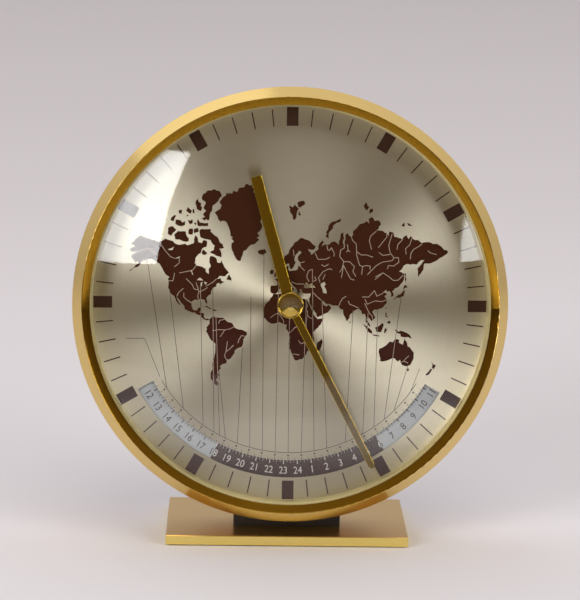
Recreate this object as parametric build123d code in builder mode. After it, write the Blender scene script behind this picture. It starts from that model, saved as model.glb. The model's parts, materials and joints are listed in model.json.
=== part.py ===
# World-time table clock: a round brass case, tilted back on a brass foot, with a quartz movement.
#
# The origin is the centre of the foot's underside, +Z is up and the dial faces -Y.
# The case and the movement are drawn in the head frame. Its origin is the centre of the dial's
# front face, its x points right, its y up the dial and its z out of the dial, at the viewer.
# Lengths are in millimetres and angles in degrees.

from build123d import *

import math
import os

# Foot
base_width = 90.0
base_depth = 60.0
base_thickness = 3.5
base_edge = 0.3
felt_thickness = 0.5
felt_inset = 1.5
pedestal_width = 40.0
pedestal_depth = 16.0
pedestal_setback = 15.0
pedestal_edge = 0.4
foot_screw_spread = 22.0
foot_screw_radius = 2.0
foot_screw_head_radius = 3.8
nut_bar_length = 34.0
nut_bar_width = 10.0
nut_bar_height = 4.0

# Head: how far the dial leans back, the air under the drum, the dial's place over the foot
tilt = 5.5
head_gap = 4.6
head_setback = 10.0

# Bezel, glass and drum
case_radius = 80.0
outer_slope_width = 3.8
outer_slope_height = 6.0
inner_slope_width = 2.8
inner_slope_height = 2.6
ridge_round = 0.25
shoulder_round = 0.5
lip_thickness = 1.2
lip_overlap = 1.6
skirt_thickness = 1.4
skirt_depth = 7.2
skirt_fit = 0.1
drum_thickness = 1.5
dial_flange_width = 6.0
glass_thickness = 2.0
glass_rim_thickness = 2.0
dome_rise = 11.0
dome_fit = 0.2
gasket_thickness = 0.4
gasket_width = 1.2
spacer_height = 5.6
spacer_thickness = 2.0
saddle_fit = 0.05

# Dial and world-time disc
dial_thickness = 0.8
dial_fit = 0.2
dial_hole_clearance = 0.3
window_width = 6.5
window_margin = 1.8
window_half_angle = 60.0
window_corner = 0.3
disc_gap = 0.4
disc_thickness = 0.6
disc_clearance = 2.5
hub_boss_height = 1.0
hub_boss_margin = 2.0
hub_gear_height = 1.6
hub_play = 0.1
clip_thickness = 0.4
clip_width = 2.3

# Hands, at the angles of the clock's rest time, clockwise from twelve
hour_angle = 344.3
hour_tip_clearance = 9.3
hour_width = 4.1
hour_hub_radius = 4.0
minute_angle = 152.5
minute_tip_clearance = 5.1
minute_width = 2.9
minute_tip_width = 2.4
minute_hub_radius = 3.6
hand_thickness = 0.8
hand_round = 0.15
hand_rise = 2.2
hand_spacing = 1.0
cap_radius = 4.85
cap_height = 2.3
cap_rim = 0.6
cap_groove = 0.35
cap_cone = 0.95
cap_round = 0.25
cap_socket = 0.6

# Coaxial tubes at the centre, and their running fit
arbor_radius = 1.2
running_fit = 0.05
hour_pipe_wall = 0.95
bush_wall = 1.75
bush_flange_thickness = 0.5
bush_flange_width = 2.0

# Movement plates and the levels of the wheels between them
plate_thickness = 2.0
plate_margin = 6.0
plate_rim_clearance = 2.4
level_start = 1.0
level_pitch = 2.0
wheel_thickness = 1.2
pinion_overhang = 0.2
level_count = 7
end_play = 0.1
pivot_radius = 0.6
pivot_length = 1.6
train_arbor_radius = 1.0
back_plate_margin = 4.0
back_plate_corner = 4.0
pillar_radius = 2.6
pillar_inset = 3.8
pillar_screw_radius = 1.2
plate_screw_angle = 25.0
plate_screw_radius = 1.5
plate_screw_bite = 3.0
small_head_height = 1.4
small_head_share = 1.8
slot_share = 0.35
thread_fit = 0.05
stud_head_height = 0.3
stud_head_radius = 1.7
idler_boss_radius = 2.6
idler_boss_height = 0.6

# Gears
motion_module = 0.5
train_module = 0.4
pressure_angle = 20.0
addendum_share = 0.9
dedendum_share = 1.15
backlash_share = 0.15
cannon_teeth = 15
minute_wheel_teeth = 45
minute_pinion_teeth = 12
hour_teeth = 48
hour_drive_teeth = 20
idler_teeth = 40
idler_pinion_teeth = 15
disc_teeth = 45
set_teeth = 15
rotor_teeth = 12
intermediate_teeth = 60
second_teeth = 60
third_teeth = 75
center_teeth = 80
train_pinion_teeth = 10

# Directions from each wheel's axis to the next one's, counter-clockwise from the right
minute_wheel_direction = 225.0
set_direction = 200.0
idler_direction = 45.0
third_direction = 150.0
second_direction = 50.0
intermediate_direction = 10.0
rotor_direction = -10.0

# Friction clutch between the centre wheel and the minute arbor
clutch_thickness = 0.4
clutch_radius = 4.0
clutch_gap = 0.1
shoulder_radius = 2.1
shoulder_height = 1.0

# Stepping motor
magnet_radius = 4.0
magnet_length = 5.0
magnet_gap = 0.5
stator_thickness = 1.5
stator_half_width = 7.0
stator_half_height = 16.0
stator_arm_width = 7.0
stator_arm_reach = 15.0
stator_post_radius = 2.4
stator_screw_radius = 1.0
core_width = 3.6
bobbin_wall = 0.8
bobbin_flange_radius = 4.2
bobbin_flange_thickness = 1.0
bobbin_gap = 0.2
winding_inset = 0.3

# Setting stem and knob
stem_radius = 1.5
stem_hole_clearance = 0.8
knob_radius = 7.0
knob_height = 6.0
knob_gap = 0.8
knob_groove_count = 24
knob_groove_radius = 0.5
knob_edge = 0.6

# Circuit board
board_height = 15.0
board_thickness = 1.2
board_standoff = 2.2
board_overhang = 0.6
board_post_spread = 40.0
board_post_radius = 2.2
board_screw_radius = 1.0
crystal_radius = 1.5
crystal_round = 0.5
crystal_length = 8.0
crystal_offset = 14.0
chip_length = 7.0
chip_width = 5.0
chip_height = 1.4
trimmer_radius = 2.5
trimmer_height = 2.4
trimmer_slot_depth = 0.8
trimmer_offset = -13.0

# Battery, its contacts and the moulded trough that holds it
battery_radius = 7.25
battery_length = 49.0
battery_nub_radius = 2.75
battery_nub_length = 1.5
battery_gap = 1.1
battery_clearance = 0.35
contact_room = 3.5
contact_thickness = 0.4
contact_width = 9.0
contact_tab_width = 3.0
contact_gap = 0.1
spring_gap = 0.15
trough_wall = 1.7
tab_slot_clearance = 0.3

# Rear cover and battery door
cover_thickness = 2.0
cover_room = 7.4
cover_dish_height = 5.0
cover_dish_slope = 4.5
cover_rim_width = 8.0
cover_screw_count = 3
cover_screw_radius = 1.5
cover_screw_inset = 4.0
cover_screw_bite = 5.0
lug_width = 8.0
lug_depth = 8.0
door_ledge = 0.6
door_gap = 0.3
door_seat_gap = 0.1
door_peg_radius = 0.6
door_peg_length = 1.3
door_peg_end_gap = 0.2
door_grip_radius = 4.0
door_grip_depth = 0.7
overrun = 1.0

# Depths along the head's z, from the front of the ridge to the back of the cover
gasket_back = spacer_height
glass_back = gasket_back + gasket_thickness
lip_back = glass_back + glass_rim_thickness
lip_front = lip_back + lip_thickness
ridge_z = lip_front + inner_slope_height
shoulder_z = ridge_z - outer_slope_height
dial_back = -dial_thickness
skirt_back = dial_back - skirt_depth
disc_front = dial_back - disc_gap
disc_back = disc_front - disc_thickness
hub_gear_front = disc_back - hub_boss_height
hub_back = hub_gear_front - hub_gear_height
bush_flange_front = hub_back - hub_play
plate_front = bush_flange_front - bush_flange_thickness
plate_back = plate_front - plate_thickness
back_plate_front = plate_back - 2 * level_start - wheel_thickness - (level_count - 1) * level_pitch
back_plate_back = back_plate_front - plate_thickness
board_front = back_plate_back - board_standoff
board_back = board_front - board_thickness
cover_in = board_back - cover_room
cover_back = cover_in - cover_thickness
drum_back = cover_back + cover_dish_height + cover_thickness
rim_back = drum_back - cover_thickness
hour_back = hand_rise
hour_front = hour_back + hand_thickness
minute_back = hour_front + hand_spacing
minute_front = minute_back + hand_thickness

# Radii about the head's z
drum_radius = case_radius - skirt_thickness - skirt_fit
drum_bore = drum_radius - drum_thickness
ridge_radius = case_radius - outer_slope_width
lip_radius = ridge_radius - inner_slope_width
bezel_bore = lip_radius + lip_overlap
dial_radius = bezel_bore - dial_fit
flange_bore = dial_radius - dial_flange_width
disc_radius = flange_bore - disc_clearance
window_outer = disc_radius - window_margin
window_inner = window_outer - window_width
spacer_bore = dial_radius - spacer_thickness
hour_length = window_inner - hour_tip_clearance
minute_length = spacer_bore - minute_tip_clearance
hour_pipe_bore = arbor_radius + running_fit
hour_pipe_radius = hour_pipe_bore + hour_pipe_wall
bush_bore = hour_pipe_radius + running_fit
bush_radius = bush_bore + bush_wall
hub_bore = bush_radius + running_fit
plate_radius = drum_bore - plate_rim_clearance
plate_screw_circle = (flange_bore + dial_radius) / 2
cover_screw_circle = drum_radius - cover_screw_inset

# The head frame over the foot
base_top = felt_thickness + base_thickness
lean = math.radians(tilt)
head_y = head_setback - base_depth / 2
head_z = base_top + head_gap + drum_radius * math.cos(lean) - drum_back * math.sin(lean)
head = Plane(
    origin=(0, head_y, head_z),
    x_dir=(1, 0, 0),
    z_dir=(0, -math.cos(lean), math.sin(lean)),
)
section = Plane(origin=head.origin, x_dir=head.x_dir, z_dir=-head.y_dir)
head_axis = Axis(head.origin, head.z_dir)
pedestal_y = pedestal_setback + pedestal_depth / 2 - base_depth / 2


def level(number):
    """The back face of the wheels on one level, counted from the front plate."""
    return plate_back - level_start - wheel_thickness - (number - 1) * level_pitch


def polar(start, reach, direction):
    """The point at a distance and a direction from another, in the head's x and y."""
    turn = math.radians(direction)
    return (start[0] + reach * math.cos(turn), start[1] + reach * math.sin(turn))


def reach_of(module, teeth, mate_teeth):
    """The distance between the axes of two meshing gears."""
    return module * (teeth + mate_teeth) / 2


def tip_radius(module, teeth):
    """The radius over the tips of a gear's teeth."""
    return module * (teeth / 2 + addendum_share)


def axis_at(point, turn=0):
    """A plane like the head's own, with its origin on one wheel's axis, turned about its normal."""
    angle = math.radians(turn)
    x_dir = head.x_dir * math.cos(angle) + head.y_dir * math.sin(angle)
    return Plane(origin=head.from_local_coords((*point, 0)), x_dir=x_dir, z_dir=head.z_dir)


def mesh_phase(at, teeth, phase, mate_at, mate_teeth):
    """The angle of a mating gear's first tooth that puts its gaps over the first gear's teeth."""
    direction = math.degrees(math.atan2(mate_at[1] - at[1], mate_at[0] - at[0]))
    passed = (direction - phase) * teeth / 360
    return direction + 180 - (0.5 - passed) * 360 / mate_teeth


def gear_points(teeth, module, phase):
    """The outline of an involute gear with straight facets, root to pitch line to tip."""
    pressure = math.radians(pressure_angle)
    pitch_radius = module * teeth / 2
    base_radius = pitch_radius * math.cos(pressure)
    root_radius = pitch_radius - dedendum_share * module
    half_tooth = math.pi / (2 * teeth) * (1 - backlash_share)

    def half_angle(radius):
        roll = math.acos(base_radius / max(radius, base_radius))
        return half_tooth + math.tan(pressure) - pressure - math.tan(roll) + roll

    flank = (root_radius, pitch_radius, tip_radius(module, teeth))
    points = []
    for tooth in range(teeth):
        middle = math.radians(phase) + 2 * math.pi * tooth / teeth
        sides = [(radius, middle - half_angle(radius)) for radius in flank]
        sides += [(radius, middle + half_angle(radius)) for radius in reversed(flank)]
        points += [(radius * math.cos(turn), radius * math.sin(turn)) for radius, turn in sides]
    return points


def rod(place, radius, start, end, mode=Mode.ADD):
    """A round rod about the normal of a plane, between two depths, added to the open part or cut."""
    with BuildSketch(place.offset(start)) as outline:
        Circle(radius)
    extrude(outline.sketch, amount=end - start, mode=mode)


def toothed_wheel(place, teeth, module, phase, back, thickness):
    """A gear about the normal of a plane, added to the open part."""
    with BuildSketch(place.offset(back)) as outline:
        Polygon(*gear_points(teeth, module, phase), align=None)
    extrude(outline.sketch, amount=thickness)


def pinion(place, teeth, module, phase, number):
    """A pinion on one level, a little thicker than the wheel that it drives."""
    back = level(number) - pinion_overhang
    toothed_wheel(place, teeth, module, phase, back, wheel_thickness + 2 * pinion_overhang)


def train_arbor(place):
    """An arbor between the plates, with a pivot at each end."""
    rod(place, train_arbor_radius, back_plate_front + end_play, plate_back - end_play)
    rod(place, pivot_radius, back_plate_front - pivot_length, plate_back + pivot_length)


def slotted_screw(place, radius, tip, seat, head_seat_side):
    """A slotted cheese-head screw along the normal of a plane, with its head behind its seat."""
    head_radius = radius * small_head_share
    head_end = seat + head_seat_side * small_head_height
    rod(place, radius, min(seat, tip), max(seat, tip))
    rod(place, head_radius, min(seat, head_end), max(seat, head_end))
    slot_floor = seat + head_seat_side * small_head_height / 2
    with BuildSketch(place.offset(min(slot_floor, head_end))) as slot:
        Rectangle(2 * head_radius, radius * slot_share)
    extrude(slot.sketch, amount=abs(head_end - slot_floor), mode=Mode.SUBTRACT)


# Places of the wheel axes in the head's x and y
center_at = (0, 0)
minute_wheel_at = polar(
    center_at,
    reach_of(motion_module, cannon_teeth, minute_wheel_teeth),
    minute_wheel_direction,
)
set_at = polar(
    minute_wheel_at,
    reach_of(motion_module, minute_wheel_teeth, set_teeth),
    set_direction,
)
idler_at = polar(
    center_at, reach_of(motion_module, hour_drive_teeth, idler_teeth), idler_direction
)
third_at = polar(
    center_at, reach_of(train_module, center_teeth, train_pinion_teeth), third_direction
)
second_at = polar(
    third_at, reach_of(train_module, third_teeth, train_pinion_teeth), second_direction
)
intermediate_at = polar(
    second_at,
    reach_of(train_module, second_teeth, train_pinion_teeth),
    intermediate_direction,
)
rotor_at = polar(
    intermediate_at,
    reach_of(train_module, intermediate_teeth, rotor_teeth),
    rotor_direction,
)
center = axis_at(center_at)
minute_wheel_axis = axis_at(minute_wheel_at)
set_axis = axis_at(set_at)
idler_axis = axis_at(idler_at)
third_axis = axis_at(third_at)
second_axis = axis_at(second_at)
intermediate_axis = axis_at(intermediate_at)
rotor_axis = axis_at(rotor_at)
train_axes = (third_axis, second_axis, intermediate_axis, rotor_axis)

# Angles of each gear's first tooth, so that every pair is in mesh at rest
minute_wheel_phase = mesh_phase(
    center_at, cannon_teeth, 0, minute_wheel_at, minute_wheel_teeth
)
set_phase = mesh_phase(
    minute_wheel_at, minute_wheel_teeth, minute_wheel_phase, set_at, set_teeth
)
hour_phase = mesh_phase(minute_wheel_at, minute_pinion_teeth, 0, center_at, hour_teeth)
idler_phase = mesh_phase(center_at, hour_drive_teeth, 0, idler_at, idler_teeth)
disc_phase = mesh_phase(idler_at, idler_pinion_teeth, 0, center_at, disc_teeth)
intermediate_phase = mesh_phase(
    rotor_at, rotor_teeth, 0, intermediate_at, intermediate_teeth
)
second_phase = mesh_phase(
    intermediate_at, train_pinion_teeth, 0, second_at, second_teeth
)
third_phase = mesh_phase(second_at, train_pinion_teeth, 0, third_at, third_teeth)
center_phase = mesh_phase(third_at, train_pinion_teeth, 0, center_at, center_teeth)

# Places of the motor, the plates' edges and the pillars
stator_left = rotor_at[0] - stator_half_width
stator_inner = rotor_at[0] + stator_half_width
stator_right = stator_inner + stator_arm_reach
stator_bottom = rotor_at[1] - stator_half_height
stator_top = rotor_at[1] + stator_half_height
coil_x = (stator_inner + stator_right) / 2
arm_low = stator_bottom + stator_arm_width / 2
arm_high = stator_top - stator_arm_width / 2
magnet_middle = (level(4) + level(5)) / 2
stator_back = magnet_middle - stator_thickness / 2
stator_front = stator_back + stator_thickness
core_back = stator_back - stator_thickness
back_plate_left = third_at[0] - tip_radius(train_module, third_teeth) - back_plate_margin
back_plate_right = stator_right + 2 * pillar_inset
back_plate_bottom = (
    min(minute_wheel_at[1] - tip_radius(motion_module, minute_wheel_teeth), set_at[1])
    - back_plate_margin
    - 2 * pillar_inset
)
back_plate_top = stator_top + back_plate_margin
back_plate_middle = (
    (back_plate_left + back_plate_right) / 2,
    (back_plate_bottom + back_plate_top) / 2,
)
pillar_places = (
    (back_plate_left + pillar_inset, back_plate_bottom + pillar_inset),
    (back_plate_left + pillar_inset, back_plate_top - pillar_inset),
    (back_plate_right - pillar_inset, rotor_at[1]),
    (coil_x, back_plate_bottom + pillar_inset),
)
pillar_axes = [axis_at(place) for place in pillar_places]
plate_screw_axes = [
    axis_at(polar(center_at, plate_screw_circle, side + turn))
    for side in (0, 180)
    for turn in (-plate_screw_angle, plate_screw_angle)
]
cover_screw_axes = [
    axis_at(polar(center_at, cover_screw_circle, 90 + 360 * number / cover_screw_count))
    for number in range(cover_screw_count)
]

# Places of the battery, the circuit board and the door
battery_z = cover_in + battery_clearance + battery_radius
cell_length = battery_length + battery_nub_length
trough_length = cell_length + 2 * contact_room
trough_height = 2 * (battery_radius + battery_clearance)
battery_y = back_plate_bottom - battery_gap - trough_wall - trough_height / 2
trough_floor = battery_z + battery_radius + battery_clearance
door_opening_length = trough_length + 2 * door_ledge
door_opening_height = trough_height + 2 * door_ledge
door_thickness = cover_thickness - door_seat_gap
door_bottom = battery_y - door_opening_height / 2 + door_gap
door_hinge_y = door_bottom + door_thickness / 2
door_hinge_z = cover_back + door_thickness / 2
contact_x = trough_length / 2 - contact_gap - contact_thickness
board_half_length = contact_x - contact_gap
board_y = back_plate_bottom - board_overhang + board_height / 2
board_post_y = back_plate_bottom + board_post_radius
board_post_axes = [
    axis_at((side * board_post_spread / 2, board_post_y)) for side in (-1, 1)
]


# The foot
foot_screw_head_height = foot_screw_head_radius - foot_screw_radius
foot_screw_hole = foot_screw_radius + thread_fit
foot_screw_places = [(-foot_screw_spread / 2, pedestal_y), (foot_screw_spread / 2, pedestal_y)]
drum_floor_z = head_z - drum_bore / math.cos(lean) - (pedestal_y - head_y) * math.tan(lean)
foot_screw_length = drum_floor_z + nut_bar_height - felt_thickness

with BuildPart() as base_felt:
    with BuildSketch():
        Rectangle(base_width - 2 * felt_inset, base_depth - 2 * felt_inset)
    extrude(amount=felt_thickness)

with BuildPart() as base_plate:
    with BuildSketch(Plane.XY.offset(felt_thickness)):
        Rectangle(base_width, base_depth)
    extrude(amount=base_thickness)
    chamfer(base_plate.faces().sort_by(Axis.Z)[-1].edges(), base_edge)
    with Locations(Plane(origin=(0, 0, felt_thickness), x_dir=(1, 0, 0), z_dir=(0, 0, -1))):
        with Locations(*[(x, -y) for x, y in foot_screw_places]):
            CounterSinkHole(
                radius=foot_screw_hole,
                counter_sink_radius=foot_screw_head_radius + thread_fit,
                depth=base_thickness,
                counter_sink_angle=90,
            )

saddle_reach = math.sqrt(drum_radius**2 - (pedestal_width / 2) ** 2)
pedestal_front_y = pedestal_y - pedestal_depth / 2
pedestal_top = head_z - saddle_reach / math.cos(lean) - (pedestal_front_y - head_y) * math.tan(lean)

with BuildPart() as pedestal:
    with BuildSketch(Plane.XY.offset(base_top)):
        with Locations((0, pedestal_y)):
            RectangleRounded(pedestal_width, pedestal_depth, pedestal_edge)
    extrude(amount=pedestal_top - base_top)
    rod(center, drum_radius + saddle_fit, drum_back - overrun, dial_back, mode=Mode.SUBTRACT)
    with BuildSketch(Plane.XY.offset(base_top)):
        with Locations(*foot_screw_places):
            Circle(foot_screw_hole)
    extrude(amount=pedestal_top - base_top, mode=Mode.SUBTRACT)

with BuildPart() as base_screws:
    with Locations(*[(x, y, felt_thickness) for x, y in foot_screw_places]):
        Cone(
            foot_screw_head_radius,
            foot_screw_radius,
            foot_screw_head_height,
            align=(Align.CENTER, Align.CENTER, Align.MIN),
        )
        Cylinder(
            foot_screw_radius,
            foot_screw_length,
            align=(Align.CENTER, Align.CENTER, Align.MIN),
        )
        Box(
            2 * foot_screw_head_radius,
            foot_screw_radius * slot_share,
            foot_screw_head_height / 2,
            align=(Align.CENTER, Align.CENTER, Align.MIN),
            mode=Mode.SUBTRACT,
        )

with BuildPart() as nut_bar:
    with BuildSketch(Plane.XY.offset(drum_floor_z - nut_bar_height)):
        with Locations((0, pedestal_y)):
            Rectangle(nut_bar_length, nut_bar_width)
    extrude(amount=2 * nut_bar_height)
    rod(center, drum_bore - saddle_fit, drum_back, plate_front, mode=Mode.INTERSECT)
    with BuildSketch(Plane.XY.offset(base_top)):
        with Locations(*foot_screw_places):
            Circle(foot_screw_hole)
    extrude(amount=drum_floor_z, mode=Mode.SUBTRACT)


# The case
with BuildPart() as case_body:
    with BuildSketch(section):
        with BuildLine():
            Polyline(
                (flange_bore, dial_back),
                (drum_radius, dial_back),
                (drum_radius, drum_back),
                (drum_bore, drum_back),
                (drum_bore, plate_front),
                (flange_bore, plate_front),
                close=True,
            )
        make_face()
    revolve(axis=head_axis)
    lug_middle = drum_bore - lug_width / 2 + drum_thickness / 2
    with BuildSketch(head.offset(drum_back)):
        with PolarLocations(lug_middle, cover_screw_count, start_angle=90):
            Rectangle(lug_width, lug_width)
    extrude(amount=lug_depth)
    for screw_axis in cover_screw_axes:
        rod(
            screw_axis,
            cover_screw_radius + thread_fit,
            drum_back,
            drum_back + cover_screw_bite + overrun,
            mode=Mode.SUBTRACT,
        )
    for screw_axis in plate_screw_axes:
        rod(
            screw_axis,
            plate_screw_radius + thread_fit,
            plate_front,
            plate_front + plate_screw_bite + thread_fit,
            mode=Mode.SUBTRACT,
        )
    with BuildSketch(Plane.XY.offset(base_top)):
        with Locations(*foot_screw_places):
            Circle(foot_screw_hole)
    extrude(amount=drum_floor_z, mode=Mode.SUBTRACT)

with BuildPart() as bezel:
    with BuildSketch(section) as bezel_profile:
        with BuildLine():
            Polyline(
                (case_radius - skirt_thickness, skirt_back),
                (case_radius, skirt_back),
                (case_radius, shoulder_z),
                (ridge_radius, ridge_z),
                (lip_radius, lip_front),
                (lip_radius, lip_back),
                (bezel_bore, lip_back),
                (bezel_bore, dial_back),
                (case_radius - skirt_thickness, dial_back),
                close=True,
            )
        make_face()
        fillet(bezel_profile.vertices().sort_by(Axis.Y)[-1], ridge_round)
        fillet(bezel_profile.vertices().group_by(Axis.X)[-1].sort_by(Axis.Y)[-1], shoulder_round)
    revolve(axis=head_axis)

dome_edge = lip_radius - dome_fit
dome_radius = (dome_edge**2 + dome_rise**2) / (2 * dome_rise)
dome_center = lip_back + dome_rise - dome_radius
inner_dome_radius = dome_radius - glass_thickness
inner_dome_edge = math.sqrt(inner_dome_radius**2 - (glass_back - dome_center) ** 2)


def on_dome(radius, sphere_radius):
    """A point of the glass's section, at a distance from its axis."""
    return (radius, dome_center + math.sqrt(sphere_radius**2 - radius**2))


with BuildPart() as glass:
    with BuildSketch(section):
        with BuildLine():
            ThreePointArc(
                on_dome(0, dome_radius),
                on_dome(dome_edge / 2, dome_radius),
                (dome_edge, lip_back),
            )
            Polyline(
                (dome_edge, lip_back),
                (dial_radius, lip_back),
                (dial_radius, glass_back),
                (inner_dome_edge, glass_back),
            )
            ThreePointArc(
                (inner_dome_edge, glass_back),
                on_dome(inner_dome_edge / 2, inner_dome_radius),
                on_dome(0, inner_dome_radius),
            )
            Line(on_dome(0, inner_dome_radius), on_dome(0, dome_radius))
        make_face()
    revolve(axis=head_axis)

with BuildPart() as glass_gasket:
    rod(center, dial_radius, gasket_back, glass_back)
    rod(center, dial_radius - gasket_width, gasket_back, glass_back, mode=Mode.SUBTRACT)

with BuildPart() as spacer_ring:
    rod(center, dial_radius, 0, spacer_height)
    rod(center, spacer_bore, 0, spacer_height, mode=Mode.SUBTRACT)

with BuildPart() as dial:
    with BuildSketch(head.offset(dial_back)):
        Circle(dial_radius)
        Circle(bush_radius + dial_hole_clearance, mode=Mode.SUBTRACT)
        with BuildLine() as window:
            outer_arc = CenterArc(
                (0, 0), window_outer, 270 - window_half_angle, 2 * window_half_angle
            )
            inner_arc = CenterArc(
                (0, 0), window_inner, 270 - window_half_angle, 2 * window_half_angle
            )
            Line(outer_arc @ 0, inner_arc @ 0)
            Line(outer_arc @ 1, inner_arc @ 1)
            fillet(window.vertices(), window_corner)
        make_face(mode=Mode.SUBTRACT)
    extrude(amount=dial_thickness)


# The world-time disc and its hub
hub_boss_radius = bush_radius + clip_width + 2 * hub_boss_margin
clip_room_radius = bush_radius + clip_width + hub_boss_margin / 2

with BuildPart() as world_disc:
    rod(center, disc_radius, disc_back, disc_front)
    rod(center, clip_room_radius, disc_back, disc_front, mode=Mode.SUBTRACT)

with BuildPart() as disc_hub:
    rod(center, hub_boss_radius, hub_gear_front, disc_back)
    toothed_wheel(center, disc_teeth, motion_module, disc_phase, hub_back, hub_gear_height)
    rod(center, hub_bore, hub_back, disc_back, mode=Mode.SUBTRACT)

with BuildPart() as disc_clip:
    clip_back = disc_back + hub_play
    rod(center, bush_radius + clip_width, clip_back, clip_back + clip_thickness)
    rod(center, bush_radius, clip_back, clip_back + clip_thickness, mode=Mode.SUBTRACT)

with BuildPart() as center_bush:
    rod(center, bush_radius, plate_back, clip_back + clip_thickness)
    rod(center, bush_radius + bush_flange_width, plate_front, bush_flange_front)
    rod(center, bush_bore, plate_back, clip_back + clip_thickness, mode=Mode.SUBTRACT)


# The movement's frame
with BuildPart() as main_plate:
    with BuildSketch(head.offset(plate_back)):
        Circle(plate_radius)
        Rectangle(2 * plate_radius, 2 * (stator_top + plate_margin), mode=Mode.INTERSECT)
    extrude(amount=plate_thickness)
    rod(idler_axis, idler_boss_radius, plate_back - idler_boss_height, plate_back)
    for axis in train_axes:
        rod(axis, pivot_radius + running_fit, plate_back, plate_front, mode=Mode.SUBTRACT)
    for screw_axis in plate_screw_axes:
        hole_radius = plate_screw_radius + thread_fit
        rod(screw_axis, hole_radius, plate_back, plate_front, mode=Mode.SUBTRACT)
    rod(center, bush_radius, plate_back, plate_front, mode=Mode.SUBTRACT)
    rod(minute_wheel_axis, train_arbor_radius, plate_back, plate_front, mode=Mode.SUBTRACT)
    rod(set_axis, pivot_radius + running_fit, plate_back, plate_front, mode=Mode.SUBTRACT)
    rod(
        idler_axis,
        arbor_radius + running_fit,
        plate_back - idler_boss_height,
        plate_front,
        mode=Mode.SUBTRACT,
    )

with BuildPart() as plate_screws:
    for screw_axis in plate_screw_axes:
        slotted_screw(
            screw_axis, plate_screw_radius, plate_front + plate_screw_bite, plate_back, -1
        )

with BuildPart() as pillars:
    for pillar_axis in pillar_axes:
        rod(pillar_axis, pillar_radius, back_plate_front, plate_back)
        rod(
            pillar_axis,
            pillar_screw_radius + thread_fit,
            back_plate_front,
            plate_back - level_start,
            mode=Mode.SUBTRACT,
        )

with BuildPart() as back_plate:
    with BuildSketch(head.offset(back_plate_back)):
        with Locations(back_plate_middle):
            RectangleRounded(
                back_plate_right - back_plate_left,
                back_plate_top - back_plate_bottom,
                back_plate_corner,
            )
        Circle(plate_radius, mode=Mode.INTERSECT)
    extrude(amount=plate_thickness)
    for axis in train_axes:
        hole_radius = pivot_radius + running_fit
        rod(axis, hole_radius, back_plate_back, back_plate_front, mode=Mode.SUBTRACT)
    for axis, radius in (
        (center, pivot_radius + running_fit),
        (set_axis, stem_radius + running_fit),
    ):
        rod(axis, radius, back_plate_back, back_plate_front, mode=Mode.SUBTRACT)
    for screw_axis in pillar_axes:
        hole_radius = pillar_screw_radius + thread_fit
        rod(screw_axis, hole_radius, back_plate_back, back_plate_front, mode=Mode.SUBTRACT)
    for screw_axis in board_post_axes:
        hole_radius = board_screw_radius + thread_fit
        rod(screw_axis, hole_radius, back_plate_back, back_plate_front, mode=Mode.SUBTRACT)

with BuildPart() as pillar_screws:
    for pillar_axis in pillar_axes:
        slotted_screw(
            pillar_axis,
            pillar_screw_radius,
            plate_back - level_start - level_pitch,
            back_plate_back,
            -1,
        )


# The hands and the wheels that turn them
stud_back = level(3) - end_play

with BuildPart() as minute_stud:
    rod(minute_wheel_axis, train_arbor_radius, stud_back, plate_front)
    rod(minute_wheel_axis, stud_head_radius, stud_back - stud_head_height, stud_back)

with BuildPart() as minute_wheel:
    toothed_wheel(
        minute_wheel_axis,
        minute_wheel_teeth,
        motion_module,
        minute_wheel_phase,
        level(3),
        wheel_thickness,
    )
    pinion(minute_wheel_axis, minute_pinion_teeth, motion_module, 0, 2)
    rod(minute_wheel_axis, 2 * train_arbor_radius, level(3), plate_back - end_play)
    rod(
        minute_wheel_axis,
        train_arbor_radius + running_fit,
        level(3),
        plate_back,
        mode=Mode.SUBTRACT,
    )

cap_seat = minute_front + end_play
cap_top = cap_seat + cap_height
cap_cone_foot = cap_top - cap_cone
arbor_top = cap_seat + cap_socket

with BuildPart() as minute_arbor:
    rod(center, pivot_radius, back_plate_front - pivot_length, back_plate_front + end_play)
    rod(center, arbor_radius, back_plate_front + end_play, arbor_top)
    rod(center, shoulder_radius, level(4) - clutch_gap - shoulder_height, level(4) - clutch_gap)
    pinion(center, cannon_teeth, motion_module, 0, 3)

with BuildPart() as hour_wheel:
    toothed_wheel(center, hour_teeth, motion_module, hour_phase, level(2), wheel_thickness)
    toothed_wheel(center, hour_drive_teeth, motion_module, 0, level(1), wheel_thickness)
    rod(center, hour_pipe_radius, level(2), hour_front + end_play)
    rod(center, hour_pipe_bore, level(2), hour_front + end_play, mode=Mode.SUBTRACT)

hour_plane = axis_at(center_at, -hour_angle)
minute_plane = axis_at(center_at, -minute_angle)

with BuildPart() as hour_hand:
    with BuildSketch(hour_plane.offset(hour_back)):
        Rectangle(hour_width, hour_length, align=(Align.CENTER, Align.MIN))
    extrude(amount=hand_thickness)
    fillet(hour_hand.faces().sort_by(head_axis)[-1].edges(), hand_round)
    rod(center, hour_hub_radius, hour_back, hour_front)
    rod(center, hour_pipe_radius, hour_back, hour_front, mode=Mode.SUBTRACT)

with BuildPart() as minute_hand:
    with BuildSketch(minute_plane.offset(minute_back)):
        with BuildLine():
            Polyline(
                (-minute_width / 2, 0),
                (minute_width / 2, 0),
                (minute_tip_width / 2, minute_length - minute_tip_width / 2),
                (minute_tip_width / 4, minute_length),
                (-minute_tip_width / 4, minute_length),
                (-minute_tip_width / 2, minute_length - minute_tip_width / 2),
                close=True,
            )
        make_face()
    extrude(amount=hand_thickness)
    fillet(minute_hand.faces().sort_by(head_axis)[-1].edges(), hand_round)
    rod(center, minute_hub_radius, minute_back, minute_front)
    rod(center, arbor_radius, minute_back, minute_front, mode=Mode.SUBTRACT)

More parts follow.
